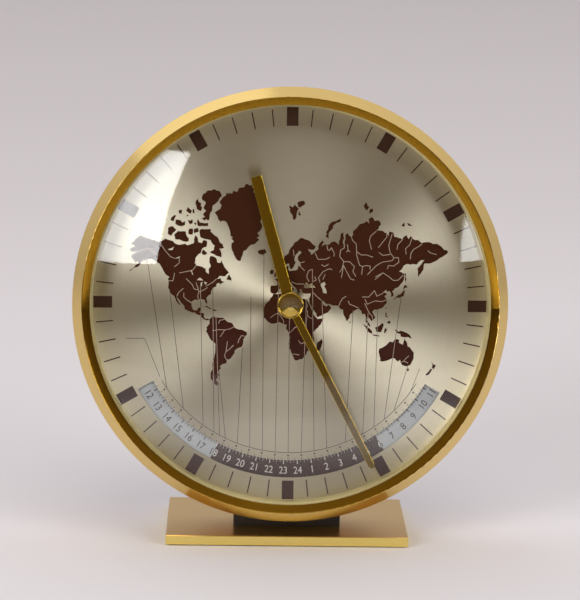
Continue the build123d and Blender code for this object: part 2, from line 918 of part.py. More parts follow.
with BuildPart() as hand_cap:
    with BuildSketch(section) as cap_profile:
        with BuildLine():
            Polyline(
                (arbor_radius, cap_seat),
                (cap_radius, cap_seat),
                (cap_radius, cap_cone_foot + cap_groove),
                (cap_radius - cap_rim, cap_cone_foot + cap_groove),
                (cap_radius - cap_rim, cap_cone_foot),
                (0, cap_top),
                (0, arbor_top),
                (arbor_radius, arbor_top),
                close=True,
            )
        make_face()
        fillet(cap_profile.vertices().group_by(Axis.Y)[-2], cap_round)
    revolve(axis=head_axis)

idler_back = level(1)

with BuildPart() as idler_wheel:
    toothed_wheel(
        idler_axis, idler_teeth, motion_module, idler_phase, idler_back, wheel_thickness
    )
    rod(idler_axis, arbor_radius, idler_back, hub_gear_front)

with BuildPart() as idler_pinion:
    toothed_wheel(
        idler_axis,
        idler_pinion_teeth,
        motion_module,
        0,
        hub_back,
        hub_gear_height,
    )
    rod(idler_axis, arbor_radius, hub_back, hub_gear_front, mode=Mode.SUBTRACT)


# The going train, from the centre wheel back to the rotor
with BuildPart() as center_wheel:
    toothed_wheel(center, center_teeth, train_module, center_phase, level(4), wheel_thickness)
    rod(center, arbor_radius + running_fit, level(4), level(4) + wheel_thickness, mode=Mode.SUBTRACT)

with BuildPart() as clutch_spring:
    clutch_back = level(4) + wheel_thickness + clutch_gap
    rod(center, clutch_radius, clutch_back, clutch_back + clutch_thickness)
    rod(center, arbor_radius, clutch_back, clutch_back + clutch_thickness, mode=Mode.SUBTRACT)

with BuildPart() as third_wheel:
    train_arbor(third_axis)
    toothed_wheel(third_axis, third_teeth, train_module, third_phase, level(5), wheel_thickness)
    pinion(third_axis, train_pinion_teeth, train_module, 0, 4)

with BuildPart() as second_wheel:
    train_arbor(second_axis)
    toothed_wheel(
        second_axis, second_teeth, train_module, second_phase, level(6), wheel_thickness
    )
    pinion(second_axis, train_pinion_teeth, train_module, 0, 5)

with BuildPart() as intermediate_wheel:
    train_arbor(intermediate_axis)
    toothed_wheel(
        intermediate_axis,
        intermediate_teeth,
        train_module,
        intermediate_phase,
        level(7),
        wheel_thickness,
    )
    pinion(intermediate_axis, train_pinion_teeth, train_module, 0, 6)

with BuildPart() as rotor:
    train_arbor(rotor_axis)
    pinion(rotor_axis, rotor_teeth, train_module, 0, 7)

with BuildPart() as rotor_magnet:
    magnet_back = magnet_middle - magnet_length / 2
    rod(rotor_axis, magnet_radius, magnet_back, magnet_back + magnet_length)
    rod(rotor_axis, train_arbor_radius, magnet_back, magnet_back + magnet_length, mode=Mode.SUBTRACT)


# The stepping motor's fixed pieces
stator_screw_axes = [axis_at((coil_x, y)) for y in (arm_low, arm_high)]

with BuildPart() as stator:
    with BuildSketch(head.offset(stator_back)):
        with BuildLine():
            Polyline(
                (stator_left, stator_bottom),
                (stator_right, stator_bottom),
                (stator_right, stator_bottom + stator_arm_width),
                (stator_inner, stator_bottom + stator_arm_width),
                (stator_inner, stator_top - stator_arm_width),
                (stator_right, stator_top - stator_arm_width),
                (stator_right, stator_top),
                (stator_left, stator_top),
                close=True,
            )
        make_face()
        with Locations(rotor_at):
            Circle(magnet_radius + magnet_gap, mode=Mode.SUBTRACT)
        with Locations((coil_x, arm_low), (coil_x, arm_high)):
            Circle(stator_screw_radius + thread_fit, mode=Mode.SUBTRACT)
    extrude(amount=stator_thickness)

with BuildPart() as coil_core:
    with BuildSketch(head.offset(core_back)):
        with Locations((coil_x, rotor_at[1])):
            Rectangle(core_width, 2 * stator_half_height)
        with Locations((coil_x, arm_low), (coil_x, arm_high)):
            Circle(stator_screw_radius + thread_fit, mode=Mode.SUBTRACT)
    extrude(amount=stator_thickness)

coil_half = stator_half_height - stator_arm_width - bobbin_gap
coil_middle = Plane(
    origin=head.from_local_coords((coil_x, rotor_at[1], core_back + stator_thickness / 2)),
    x_dir=head.x_dir,
    z_dir=head.y_dir,
)
bobbin_half_width = core_width / 2 + bobbin_gap + bobbin_wall
bobbin_half_depth = stator_thickness / 2 + bobbin_gap + bobbin_wall

with BuildPart() as coil_bobbin:
    with BuildSketch(coil_middle.offset(-coil_half)):
        Circle(bobbin_flange_radius)
    extrude(amount=bobbin_flange_thickness)
    with BuildSketch(coil_middle.offset(coil_half - bobbin_flange_thickness)):
        Circle(bobbin_flange_radius)
    extrude(amount=bobbin_flange_thickness)
    with BuildSketch(coil_middle.offset(-coil_half)):
        Rectangle(2 * bobbin_half_width, 2 * bobbin_half_depth)
    extrude(amount=2 * coil_half)
    with BuildSketch(coil_middle.offset(-coil_half)):
        Rectangle(core_width + 2 * bobbin_gap, stator_thickness + 2 * bobbin_gap)
    extrude(amount=2 * coil_half, mode=Mode.SUBTRACT)

with BuildPart() as coil_winding:
    with BuildSketch(coil_middle.offset(bobbin_flange_thickness - coil_half)):
        Circle(bobbin_flange_radius - winding_inset)
        Rectangle(2 * bobbin_half_width, 2 * bobbin_half_depth, mode=Mode.SUBTRACT)
    extrude(amount=2 * (coil_half - bobbin_flange_thickness))

with BuildPart() as stator_posts:
    for screw_axis in stator_screw_axes:
        rod(screw_axis, stator_post_radius, stator_front, plate_back)
        rod(
            screw_axis,
            stator_screw_radius + thread_fit,
            stator_front,
            plate_back - level_start,
            mode=Mode.SUBTRACT,
        )

with BuildPart() as stator_screws:
    for screw_axis in stator_screw_axes:
        slotted_screw(
            screw_axis, stator_screw_radius, plate_back - level_pitch, core_back, -1
        )


# The setting stem and its knob
with BuildPart() as set_stem:
    rod(set_axis, pivot_radius, plate_back - end_play, plate_back + pivot_length)
    rod(set_axis, stem_radius, cover_back - knob_gap - knob_height / 2, plate_back - end_play)
    pinion(set_axis, set_teeth, motion_module, set_phase, 3)

with BuildPart() as set_knob:
    knob_front = cover_back - knob_gap
    rod(set_axis, knob_radius, knob_front - knob_height, knob_front)
    chamfer(set_knob.faces().sort_by(head_axis)[0].edges(), knob_edge)
    with BuildSketch(set_axis.offset(knob_front - knob_height)):
        with PolarLocations(knob_radius, knob_groove_count):
            Circle(knob_groove_radius)
    extrude(amount=knob_height, mode=Mode.SUBTRACT)
    rod(set_axis, stem_radius, knob_front - knob_height / 2, knob_front, mode=Mode.SUBTRACT)


# The circuit board and what is on it
board_middle = axis_at((0, board_y))

with BuildPart() as circuit_board:
    with BuildSketch(board_middle.offset(board_back)):
        Rectangle(2 * board_half_length, board_height)
    extrude(amount=board_thickness)
    for screw_axis in board_post_axes:
        hole_radius = board_screw_radius + thread_fit
        rod(screw_axis, hole_radius, board_back, board_front, mode=Mode.SUBTRACT)

with BuildPart() as board_posts:
    for screw_axis in board_post_axes:
        rod(screw_axis, board_post_radius, board_front, back_plate_back)
        hole_radius = board_screw_radius + thread_fit
        rod(screw_axis, hole_radius, board_front, back_plate_back, mode=Mode.SUBTRACT)

with BuildPart() as board_screws:
    for screw_axis in board_post_axes:
        slotted_screw(screw_axis, board_screw_radius, back_plate_front, board_back, -1)

board_parts_y = board_y - board_height / 4

with BuildPart() as quartz_crystal:
    crystal_end = Plane(
        origin=head.from_local_coords(
            (crystal_offset - crystal_length / 2, board_parts_y, board_back - crystal_radius)
        ),
        x_dir=head.y_dir,
        z_dir=head.x_dir,
    )
    with BuildSketch(crystal_end):
        Circle(crystal_radius)
    extrude(amount=crystal_length)
    fillet(quartz_crystal.edges().group_by(Axis.X)[-1], crystal_round)

with BuildPart() as control_chip:
    with BuildSketch(axis_at((0, board_parts_y)).offset(board_back - chip_height)):
        Rectangle(chip_length, chip_width)
    extrude(amount=chip_height)

with BuildPart() as trimmer:
    trimmer_axis = axis_at((trimmer_offset, board_parts_y))
    rod(trimmer_axis, trimmer_radius, board_back - trimmer_height, board_back)
    with BuildSketch(trimmer_axis.offset(board_back - trimmer_height)):
        Rectangle(2 * trimmer_radius, trimmer_radius * slot_share)
    extrude(amount=trimmer_slot_depth, mode=Mode.SUBTRACT)


# The battery and its contacts
battery_start = Plane(
    origin=head.from_local_coords((-cell_length / 2, battery_y, battery_z)),
    x_dir=head.y_dir,
    z_dir=head.x_dir,
)

with BuildPart() as battery:
    rod(battery_start, battery_radius, 0, battery_length)
    fillet(battery.edges(), battery_clearance)
    rod(battery_start, battery_nub_radius, battery_length, cell_length)


def contact_strip(x):
    """A flat contact at one end of the trough, with a tab that rises to the board's edge."""
    end_plane = Plane(
        origin=head.from_local_coords((x, battery_y, battery_z)),
        x_dir=head.y_dir,
        z_dir=head.x_dir,
    )
    tab_top = board_y + board_height / 2 - battery_y
    tab_z = (board_front + board_back) / 2 - battery_z
    with BuildSketch(end_plane) as outline:
        Rectangle(contact_width, contact_width)
        with Locations((0, tab_z)):
            Rectangle(tab_top, contact_tab_width, align=(Align.MIN, Align.CENTER))
    extrude(outline.sketch, amount=contact_thickness)


with BuildPart() as contact_positive:
    contact_strip(contact_x)
    bump_start = cell_length + spring_gap
    bump_end = cell_length / 2 + contact_x
    rod(battery_start, battery_nub_radius, bump_start, bump_end)

spring_end = -cell_length / 2 - spring_gap
spring_root = -contact_x - contact_thickness

with BuildPart() as contact_negative:
    contact_strip(-contact_x - contact_thickness)
    with BuildSketch(head.offset(battery_z - contact_tab_width / 2)):
        with BuildLine():
            Polyline(
                (spring_root, battery_y - contact_width / 2),
                (spring_end - contact_thickness, battery_y),
                (spring_root, battery_y + contact_width / 2),
                (spring_root + contact_thickness, battery_y + contact_width / 2),
                (spring_end, battery_y),
                (spring_root + contact_thickness, battery_y - contact_width / 2),
                close=True,
            )
        make_face()
    extrude(amount=contact_tab_width)


# The rear cover with its battery trough, and the door
dish_outer = drum_radius - cover_rim_width
dish_inner = dish_outer - cover_dish_slope
battery_place = (0, battery_y)

with BuildPart() as rear_cover:
    with BuildSketch(section):
        with BuildLine():
            Polyline(
                (0, cover_back),
                (dish_inner, cover_back),
                (dish_outer, rim_back),
                (drum_radius, rim_back),
                (drum_radius, drum_back),
                (dish_outer - cover_thickness, drum_back),
                (dish_inner - cover_thickness, cover_in),
                (0, cover_in),
                close=True,
            )
        make_face()
    revolve(axis=head_axis)
    with BuildSketch(head.offset(cover_in)):
        with Locations(battery_place):
            Rectangle(trough_length + 2 * trough_wall, trough_height + 2 * trough_wall)
    extrude(amount=trough_floor + trough_wall - cover_in)
    with BuildSketch(head.offset(cover_back)):
        with Locations(battery_place):
            Rectangle(trough_length, trough_height)
    extrude(amount=trough_floor - cover_back, mode=Mode.SUBTRACT)
    with BuildSketch(head.offset(cover_back)):
        with Locations(battery_place):
            Rectangle(door_opening_length, door_opening_height)
    extrude(amount=cover_thickness, mode=Mode.SUBTRACT)
    slot_depth = contact_tab_width + 2 * tab_slot_clearance
    slot_width = contact_thickness + 2 * tab_slot_clearance
    with BuildSketch(head.offset((board_front + board_back) / 2 - slot_depth / 2)):
        with Locations(
            (contact_x + contact_thickness / 2, battery_y + trough_height / 2),
            (-contact_x - contact_thickness / 2, battery_y + trough_height / 2),
        ):
            Rectangle(slot_width, 2 * (trough_wall + overrun))
    extrude(amount=slot_depth, mode=Mode.SUBTRACT)
    hinge_start = Plane(
        origin=head.from_local_coords((0, door_hinge_y, door_hinge_z)),
        x_dir=head.y_dir,
        z_dir=head.x_dir,
    )
    socket_reach = door_opening_length / 2 + door_peg_length + door_peg_end_gap
    rod(hinge_start, door_peg_radius + running_fit, -socket_reach, socket_reach, mode=Mode.SUBTRACT)
    hole_radius = stem_radius + stem_hole_clearance
    rod(set_axis, hole_radius, cover_back, cover_in, mode=Mode.SUBTRACT)
    for screw_axis in cover_screw_axes:
        hole_radius = cover_screw_radius + thread_fit
        rod(screw_axis, hole_radius, rim_back, drum_back, mode=Mode.SUBTRACT)

with BuildPart() as cover_screws:
    for screw_axis in cover_screw_axes:
        slotted_screw(
            screw_axis, cover_screw_radius, drum_back + cover_screw_bite, rim_back, -1
        )

door_length = door_opening_length - 2 * door_gap
door_height = door_opening_height - 2 * door_gap
door_top = door_bottom + door_height

with BuildPart() as battery_door:
    with BuildSketch(head.offset(cover_back)):
        with Locations((0, (door_hinge_y + door_top) / 2)):
            Rectangle(door_length, door_top - door_hinge_y)
    extrude(amount=door_thickness)
    rod(hinge_start, door_thickness / 2, -door_length / 2, door_length / 2)
    peg_reach = door_opening_length / 2 + door_peg_length
    rod(hinge_start, door_peg_radius, -peg_reach, peg_reach)
    with BuildSketch(head.offset(cover_back)):
        with Locations((0, door_top)):
            Circle(door_grip_radius)
    extrude(amount=door_grip_depth, mode=Mode.SUBTRACT)


pieces = {
    "base_felt": base_felt,
    "base_plate": base_plate,
    "base_screws": base_screws,
    "pedestal": pedestal,
    "nut_bar": nut_bar,
    "case_body": case_body,
    "bezel": bezel,
    "glass": glass,
    "glass_gasket": glass_gasket,
    "spacer_ring": spacer_ring,
    "dial": dial,
    "world_disc": world_disc,
    "disc_hub": disc_hub,
    "disc_clip": disc_clip,
    "center_bush": center_bush,
    "main_plate": main_plate,
    "plate_screws": plate_screws,
    "pillars": pillars,
    "back_plate": back_plate,
    "pillar_screws": pillar_screws,
    "minute_stud": minute_stud,
    "minute_wheel": minute_wheel,
    "minute_arbor": minute_arbor,
    "minute_hand": minute_hand,
    "hand_cap": hand_cap,
    "hour_wheel": hour_wheel,
    "hour_hand": hour_hand,
    "idler_wheel": idler_wheel,
    "idler_pinion": idler_pinion,
    "center_wheel": center_wheel,
    "clutch_spring": clutch_spring,
    "third_wheel": third_wheel,
    "second_wheel": second_wheel,
    "intermediate_wheel": intermediate_wheel,
    "rotor": rotor,
    "rotor_magnet": rotor_magnet,
    "stator": stator,
    "coil_core": coil_core,
    "coil_bobbin": coil_bobbin,
    "coil_winding": coil_winding,
    "stator_posts": stator_posts,
    "stator_screws": stator_screws,
    "set_stem": set_stem,
    "set_knob": set_knob,
    "circuit_board": circuit_board,
    "board_posts": board_posts,
    "board_screws": board_screws,
    "quartz_crystal": quartz_crystal,
    "control_chip": control_chip,
    "trimmer": trimmer,
    "battery": battery,
    "contact_positive": contact_positive,
    "contact_negative": contact_negative,
    "rear_cover": rear_cover,
    "cover_screws": cover_screws,
    "battery_door": battery_door,
}

os.makedirs("parts", exist_ok=True)
for name, piece in pieces.items():
    piece.part.label = name
    export_step(piece.part, f"parts/{name}.step")
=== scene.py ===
"""Looks of a world-time table clock: its metals, glass, printed dial, hour disc, light and camera."""

import itertools
import json
import math
import random

import bmesh
import bpy
from mathutils import Matrix, Vector
from mathutils.geometry import tessellate_polygon


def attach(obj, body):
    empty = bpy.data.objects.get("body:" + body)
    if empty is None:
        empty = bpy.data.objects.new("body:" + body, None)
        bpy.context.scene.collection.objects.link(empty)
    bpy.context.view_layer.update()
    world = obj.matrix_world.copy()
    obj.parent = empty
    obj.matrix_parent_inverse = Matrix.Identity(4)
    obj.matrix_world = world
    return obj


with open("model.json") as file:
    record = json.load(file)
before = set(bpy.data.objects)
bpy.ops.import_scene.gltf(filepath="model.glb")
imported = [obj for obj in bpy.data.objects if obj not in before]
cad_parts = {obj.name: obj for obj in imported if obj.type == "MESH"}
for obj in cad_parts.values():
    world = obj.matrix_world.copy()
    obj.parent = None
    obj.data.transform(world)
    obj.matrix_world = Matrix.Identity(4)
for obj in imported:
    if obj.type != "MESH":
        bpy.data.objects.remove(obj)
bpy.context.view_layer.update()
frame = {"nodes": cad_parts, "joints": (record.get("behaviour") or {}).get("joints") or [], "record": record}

# Lengths are in metres and angles in degrees. On the dial, angles run clockwise from twelve.

# Camera
image_width = 580
focal_pixels = 2788.9
sensor_width = 36.0
camera_location = (-0.018455, -1.033862, 0.262473)
camera_yaw = 1.0388
camera_pitch = 9.5906
camera_roll = 0.8808

# Light: softboxes in front, lights high in front and behind, and a room that is dark in front.
# A softbox's corners are each a turn to the right and a height, as seen from the dial, and its
# radiances are those at its lowest and highest corners. A high light has a turn, a height, a spread
# and a strength. The floor's stops go by depth and paint shade on it: near black far in front of the
# clock, and dimmer toward the front and far behind than about the clock.
softbox_distance = 1.24
left_softbox = ((-22.6, 31.4), (-25.3, 21.0), (-26.8, 8.8), (-52.0, 7.0), (-52.0, 22.0))
left_radiances = (8.8, 11.4)
right_softbox = ((39.0, 29.0), (36.2, 9.2), (62.0, 7.5), (62.0, 25.0))
right_radiances = (7.8, 7.8)
front_light = (14.0, 60.0, 38.0, 0.52)
back_light = (-140.0, 50.0, 40.0, 0.15)
floor_radius = 9.0
floor_sides = 96
# Paper colour by depth, painted shade: near black far in front, dimmer toward the front and far behind than
# about the clock
floor_shade_stops = (
    (-0.36, (0.07, 0.055, 0.04)), (-0.325, (0.62, 0.60, 0.63)), (-0.22, (0.80, 0.78, 0.82)),
    (0.5, (0.93, 0.905, 0.955)), (4.0, (0.76, 0.738, 0.782)),
)
floor_glow_stops = ((-0.20, 0.0), (-0.16, 0.8), (-0.12, 0.8), (-0.09, 0.0))
horizon_color = (0.56, 0.53, 0.55)
zenith_color = (0.95, 0.91, 0.93)
front_room_color = (0.14, 0.095, 0.03)
front_direction = -0.3
back_direction = 0.4

# Hands, where they rest
hour_hand_angle = 344.3
minute_hand_angle = 152.5

# Print on the dial
ink_height = 0.00004
ink_sink = 0.00002
block_inner = 0.0656
block_outer = 0.0725
block_width = 0.0043
tick_outer = 0.0719
tick_width = 0.00044
hours_on_dial = 12
minutes_on_dial = 60
arc_radius = 0.0551
arc_width = 0.00018
arc_half_angle = 58.5
arc_step = 1.5
zone_dot_radius = 0.0562
zone_dot_size = 0.00033
zone_dot_sides = 10
zone_tick_inner = 0.0570
zone_tick_outer = 0.0578
half_tick_inner = 0.0572
fine_tick_width = 0.00016
leader_width = 0.00017

# World map: where longitude 0 and the equator lie, the length of a degree, and how ragged coasts are
map_origin = (-0.0043, -0.0088)
map_degree_width = 0.000328
map_degree_height = 0.000324
map_height = 0.00003
river_width = 0.00022
river_height = 0.00006
river_bend_sides = 8
coast_step = 0.0008
coast_jag = 0.00011
coast_jag_share = 0.14
coast_seed = 8
coast_probe = 0.00015

# Hour disc: the hours are 5 degrees apart, so the 24 of them go round three times
disc_hours = 72
hours_in_day = 24
hour_step = 5.0
midnight_offset = 3.4
band_inner = 0.0565
band_outer = 0.0660
band_step = 2.5
night_start = 18
night_length = 12
hour_tick_inner = 0.0578
hour_tick_outer = 0.0596
half_hour_tick_outer = 0.0591
quarter_tick_outer = 0.0588
hour_tick_width = 0.00034
numeral_radius = 0.06205
numeral_size = 0.0038
numeral_aspect = 0.87
numeral_weld = 0.0000002
disc_ink_height = 0.00003
band_height = 0.000015

# Colours
brass = (0.80, 0.58, 0.20)
# Painted shade: the bezel's inner slope, darkened and deepened to stand for its dim brass reflections
inner_slope_shade_brass = (0.35, 0.18, 0.0125)
bezel_color = (0.75, 0.545, 0.19)
# Painted shade: the base plate's top is coloured darker than its edges and front
base_top_shade_color = (0.60, 0.41, 0.16)
base_edge_color = (0.95, 0.76, 0.24)
hand_color = (0.70, 0.48, 0.04)
cap_color = (0.70, 0.48, 0.10)
dial_color = (0.70, 0.635, 0.51)
ring_color = (0.95, 0.85, 0.5)
night_color = (0.060, 0.034, 0.032)
dark_ink_color = (0.042, 0.015, 0.011)
map_color = (0.042, 0.006, 0.0015)
pale_ink_color = (0.62, 0.60, 0.58)
river_color = (0.50, 0.38, 0.31)
glass_tint = (0.985, 0.99, 0.985)

# Finishes: along, across and scales count waves to the metre, turned_around those round the axis.
# Swings go either way from a roughness, and grains are depths.
noise_range = (0.25, 0.75)
tint_range = (0.3, 0.7)
streak_detail = 4.0
streak_depth = 0.000004
streak_relief_share = 0.4
turned_around = 3.0
turned_across = 2600.0
turned_dim_share = 0.92
turned_rough_swing = 0.04
brush_turn_share = 0.25
ridge_radius = 0.0762
bezel_roughs = (0.1, 0.2)
bezel_brush_share = 0.3
dial_across = 3500.0
cap_across = 9000.0
cap_relief_share = 0.03
ring_relief_share = 0.1
drawn_dim_share = 0.9
drawn_rough_swing = 0.05
base_scales = (60.0, 3000.0, 3000.0)
base_roughs = (0.18, 0.3)
base_brush_share = 0.8
hand_along = 300.0
hand_across = 20000.0
hand_roughs = (0.1, 0.15)
hand_dim_share = 0.94
hand_streak_depth = 0.000001
hand_relief_share = 0.2
grain_detail = 6.0
grain_rough_swing = 0.06
grain_relief_share = 0.5
fine_grain = 0.00001
felt_grain = 0.0002
moulded_grain = 0.00004
card_grain = 0.000006
sleeve_grain = 0.000005
ink_grain = 0.000004
ink_dim_share = 0.85
ink_gloss_share = 0.1
ink_rough = 0.7
ink_scale = 3000.0
glass_index = 1.47
smear_scale = 60.0
smear_roughs = (0.01, 0.05)
floor_rough = 0.9
floor_scale = 900.0
floor_grain = 0.00002
floor_relief_share = 0.3


# Frames of reference

def head_frame():
    """The dial's frame: x points right, y up the dial and z out of it, at the viewer."""
    turn = next(joint for joint in frame["joints"] if joint["name"] == "minute_turn")
    out = -Vector(turn["axis"])
    right = Vector((1, 0, 0))
    matrix = Matrix((right, out.cross(right), out)).transposed().to_4x4()
    matrix.translation = Vector(turn["pos_m"])
    return matrix


head = head_frame()


def face_height(node):
    """The highest place of a node's mesh along the head's z."""
    back = head.inverted()
    return max((back @ vertex.co).z for vertex in frame["nodes"][node].data.vertices)


dial_face = face_height("dial")
disc_face = face_height("world_disc")


def polar(radius, angle):
    turn = math.radians(angle)
    return (radius * math.sin(turn), radius * math.cos(turn))


# Flat outlines, as lists of points

def bar(start, end, width):
    along = (Vector(end) - Vector(start)).normalized()
    side = Vector((-along.y, along.x)) * width / 2
    first = Vector(start)
    last = Vector(end)
    return [tuple(first + side), tuple(first - side), tuple(last - side), tuple(last + side)]


def radial_bar(angle, inner, outer, width):
    return bar(polar(inner, angle), polar(outer, angle), width)


def ring_part(inner, outer, start, end, step):
    count = max(1, round(abs(end - start) / step))
    angles = [start + (end - start) * i / count for i in range(count + 1)]
    out = [polar(outer, angle) for angle in angles]
    back = [polar(inner, angle) for angle in reversed(angles)]
    return out + back


def disc_outline(center, radius, sides):
    corners = []
    for i in range(sides):
        x, y = polar(radius, 360 * i / sides)
        corners.append((center[0] + x, center[1] + y))
    return corners


def line_parts(points, width):
    """One bar for each stretch of a line, and a small disc at each bend."""
    stretches = [[bar(a, b, width)] for a, b in zip(points, points[1:])]
    bends = [[disc_outline(point, width / 2, river_bend_sides)] for point in points[1:-1]]
    return stretches + bends


# Meshes from outlines

def add_slab(mesh, loops, low, high):
    """A thin slab of the first outline, with the other outlines as holes."""
    flat = [point for loop in loops for point in loop]
    triangles = tessellate_polygon([[Vector((x, y, 0)) for x, y in loop] for loop in loops])
    top = [mesh.verts.new((x, y, high)) for x, y in flat]
    bottom = [mesh.verts.new((x, y, low)) for x, y in flat]
    for a, b, c in triangles:
        mesh.faces.new((top[a], top[b], top[c]))
        mesh.faces.new((bottom[c], bottom[b], bottom[a]))
    first = 0
    for loop in loops:
        for i in range(len(loop)):
            a = first + i
            b = first + (i + 1) % len(loop)
            mesh.faces.new((top[a], bottom[a], bottom[b], top[b]))
        first += len(loop)


def add_object(name, data):
    thing = bpy.data.objects.new(name, data)
    bpy.context.scene.collection.objects.link(thing)
    return thing


def mesh_data(name, mesh, material):
    data = bpy.data.meshes.new(name)
    mesh.to_mesh(data)
    mesh.free()
    data.materials.append(material)
    return data


def make_piece(name, mesh, body, material):
    """A piece from a mesh drawn in the head's frame, riding on a body."""
    bmesh.ops.recalc_face_normals(mesh, faces=mesh.faces)
    data = mesh_data(name, mesh, material)
    data.transform(head)
    piece = add_object(name, data)
    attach(piece, body)


def print_piece(name, shapes, body, material, base, height):
    """Ink or foil of one colour on a surface at height base on the head's z."""
    mesh = bmesh.new()
    for loops in shapes:
        add_slab(mesh, loops, base - ink_sink, base + height)
    make_piece(name, mesh, body, material)


# Shader nodes

class Nodes:
    """A node tree, with short ways to add nodes to it."""

    def __init__(self, tree):
        self.tree = tree

    def feed(self, node, sockets):
        """Gives each named socket of a node its value, or a link from another node's output."""
        for name, value in sockets.items():
            socket = node.inputs[name]
            if isinstance(value, bpy.types.NodeSocket):
                self.tree.links.new(value, socket)
            else:
                socket.default_value = (*value, 1.0) if socket.type == "RGBA" else value

    def add(self, kind, sockets, **settings):
        """Adds a node and gives its outputs."""
        node = self.tree.nodes.new("ShaderNode" + kind)
        for name, value in settings.items():
            setattr(node, name, value)
        self.feed(node, sockets)
        return node.outputs

    def ranged(self, value, start, end, low=0.0, high=1.0):
        """A value that runs from start to end, brought to run from low to high."""
        sockets = {"Value": value, "From Min": start, "From Max": end, "To Min": low, "To Max": high}
        return self.add("MapRange", sockets)["Result"]

    def stages(self, value, stops):
        """A colour that runs through stops, each a value and its colour."""
        first = stops[0][0]
        last = stops[-1][0]
        ramp = self.tree.nodes.new("ShaderNodeValToRGB")
        marks = ramp.color_ramp.elements
        while len(marks) < len(stops):
            marks.new(1.0)
        for mark, (place, color) in zip(marks, stops):
            mark.position = (place - first) / (last - first)
            mark.color = (*color, 1.0)
        self.feed(ramp, {"Fac": self.ranged(value, first, last)})
        return ramp.outputs["Color"]


class Shader(Nodes):
    """A material's node tree with its principled shader."""

    def __init__(self, name):
        self.material = bpy.data.materials.new(name)
        self.material.use_nodes = True
        super().__init__(self.material.node_tree)
        self.surface = self.tree.nodes["Principled BSDF"]

    def set(self, **sockets):
        """Feeds the principled shader's sockets, named with underscores for spaces."""
        self.feed(self.surface, {name.replace("_", " "): value for name, value in sockets.items()})

    def replace_surface(self, closure):
        """Puts another shader in the principled one's place."""
        self.tree.nodes.remove(self.surface)
        self.feed(self.tree.nodes["Material Output"], {"Surface": closure})

    def place(self, scale=(1, 1, 1)):
        """Coordinates in the object's frame, stretched by a scale."""
        seen = self.add("TexCoord", {})["Object"]
        return self.add("Mapping", {"Vector": seen, "Scale": scale})["Vector"]

    def place_in(self, matrix):
        """Coordinates in the frame of a matrix."""
        sockets = {"Location": matrix.translation, "Rotation": matrix.to_euler()}
        sockets["Vector"] = self.add("TexCoord", {})["Object"]
        return self.add("Mapping", sockets, vector_type="TEXTURE")["Vector"]

    def across_axis(self):
        """The way from the head's axis to the surface, and its length."""
        sockets = {0: self.place_in(head), 1: (1, 1, 0)}
        way = self.add("VectorMath", sockets, operation="MULTIPLY")["Vector"]
        return way, self.add("VectorMath", {0: way}, operation="LENGTH")["Value"]

    def outside(self, radius):
        """0 nearer to the head's axis than a radius, and 1 beyond it."""
        reach = self.across_axis()[1]
        return self.add("Math", {0: reach, 1: radius}, operation="GREATER_THAN")["Value"]

    def turned_streaks(self, across=turned_across):
        """Streaks that run round the head's axis, fine by across."""
        way, reach = self.across_axis()
        unit = self.add("VectorMath", {0: way}, operation="NORMALIZE")["Vector"]
        spread = self.add("VectorMath", {0: unit, "Scale": turned_around}, operation="SCALE")["Vector"]
        rise = self.add("Math", {0: reach, 1: across}, operation="MULTIPLY")["Value"]
        depth = self.add("CombineXYZ", {"Z": rise})["Vector"]
        return self.noise(self.add("VectorMath", {0: spread, 1: depth}, operation="ADD")["Vector"])

    def hand_streaks(self, angle):
        """Streaks along a hand that points at an angle of the dial."""
        turned = head @ Matrix.Rotation(math.radians(-angle), 4, "Z")
        scale = (hand_across, hand_along, hand_across)
        return self.noise(self.add("Mapping", {"Vector": self.place_in(turned), "Scale": scale})["Vector"])

    def noise(self, place, scale=1.0, detail=streak_detail):
        return self.add("TexNoise", {"Vector": place, "Scale": scale, "Detail": detail})["Fac"]

    def spread(self, value, low, high):
        """A 0 to 1 value, spread from low to high about its middle."""
        return self.ranged(value, *noise_range, low, high)

    def tint(self, value, dark, light):
        """A colour between two, by a 0 to 1 value."""
        return self.stages(value, tuple(zip(tint_range, (dark, light))))

    def vary(self, value, colors, roughs, metallic_share=1.0):
        """Varies the colour and the roughness between two of each, by a 0 to 1 value."""
        color = self.tint(value, *colors)
        self.set(Base_Color=color, Roughness=self.spread(value, *roughs), Metallic=metallic_share)

    def bump(self, value, depth, share):
        relief = self.add("Bump", {"Height": value, "Distance": depth, "Strength": share})
        self.set(Normal=relief["Normal"])

    def brush(self, axis, share, turn):
        """Brushing about an axis: the gloss spreads across the streaks."""
        tangent = self.add("Tangent", {}, direction_type="RADIAL", axis=axis)
        self.set(Tangent=tangent["Tangent"], Anisotropic=share, Anisotropic_Rotation=turn)


# Materials

def shades(color, share):
    """A colour dimmed by a share, and the colour itself."""
    return tuple(channel * share for channel in color), color


def about(middle, swing):
    return middle - swing, middle + swing


def turned_metal(name, color, rough, brush_share, across=turned_across, relief_share=streak_relief_share):
    """Metal turned on a lathe about the head's axis."""
    shader = Shader(name)
    streaks = shader.turned_streaks(across)
    shader.vary(streaks, shades(color, turned_dim_share), about(rough, turned_rough_swing))
    shader.bump(streaks, streak_depth, relief_share)
    shader.brush("Y", brush_share, brush_turn_share)
    return shader.material


def bezel_metal(name):
    """Brass with a satin outer slope and a polished inner one, its colour darker and deeper as painted shade
    for the dim brass it mirrors.
    """
    shader = Shader(name)
    # Inside the ridge the colour is the painted shade of the inner slope
    shader.vary(shader.outside(ridge_radius), (inner_slope_shade_brass, bezel_color), bezel_roughs)
    shader.bump(shader.turned_streaks(), streak_depth, streak_relief_share)
    shader.brush("Y", bezel_brush_share, brush_turn_share)
    return shader.material


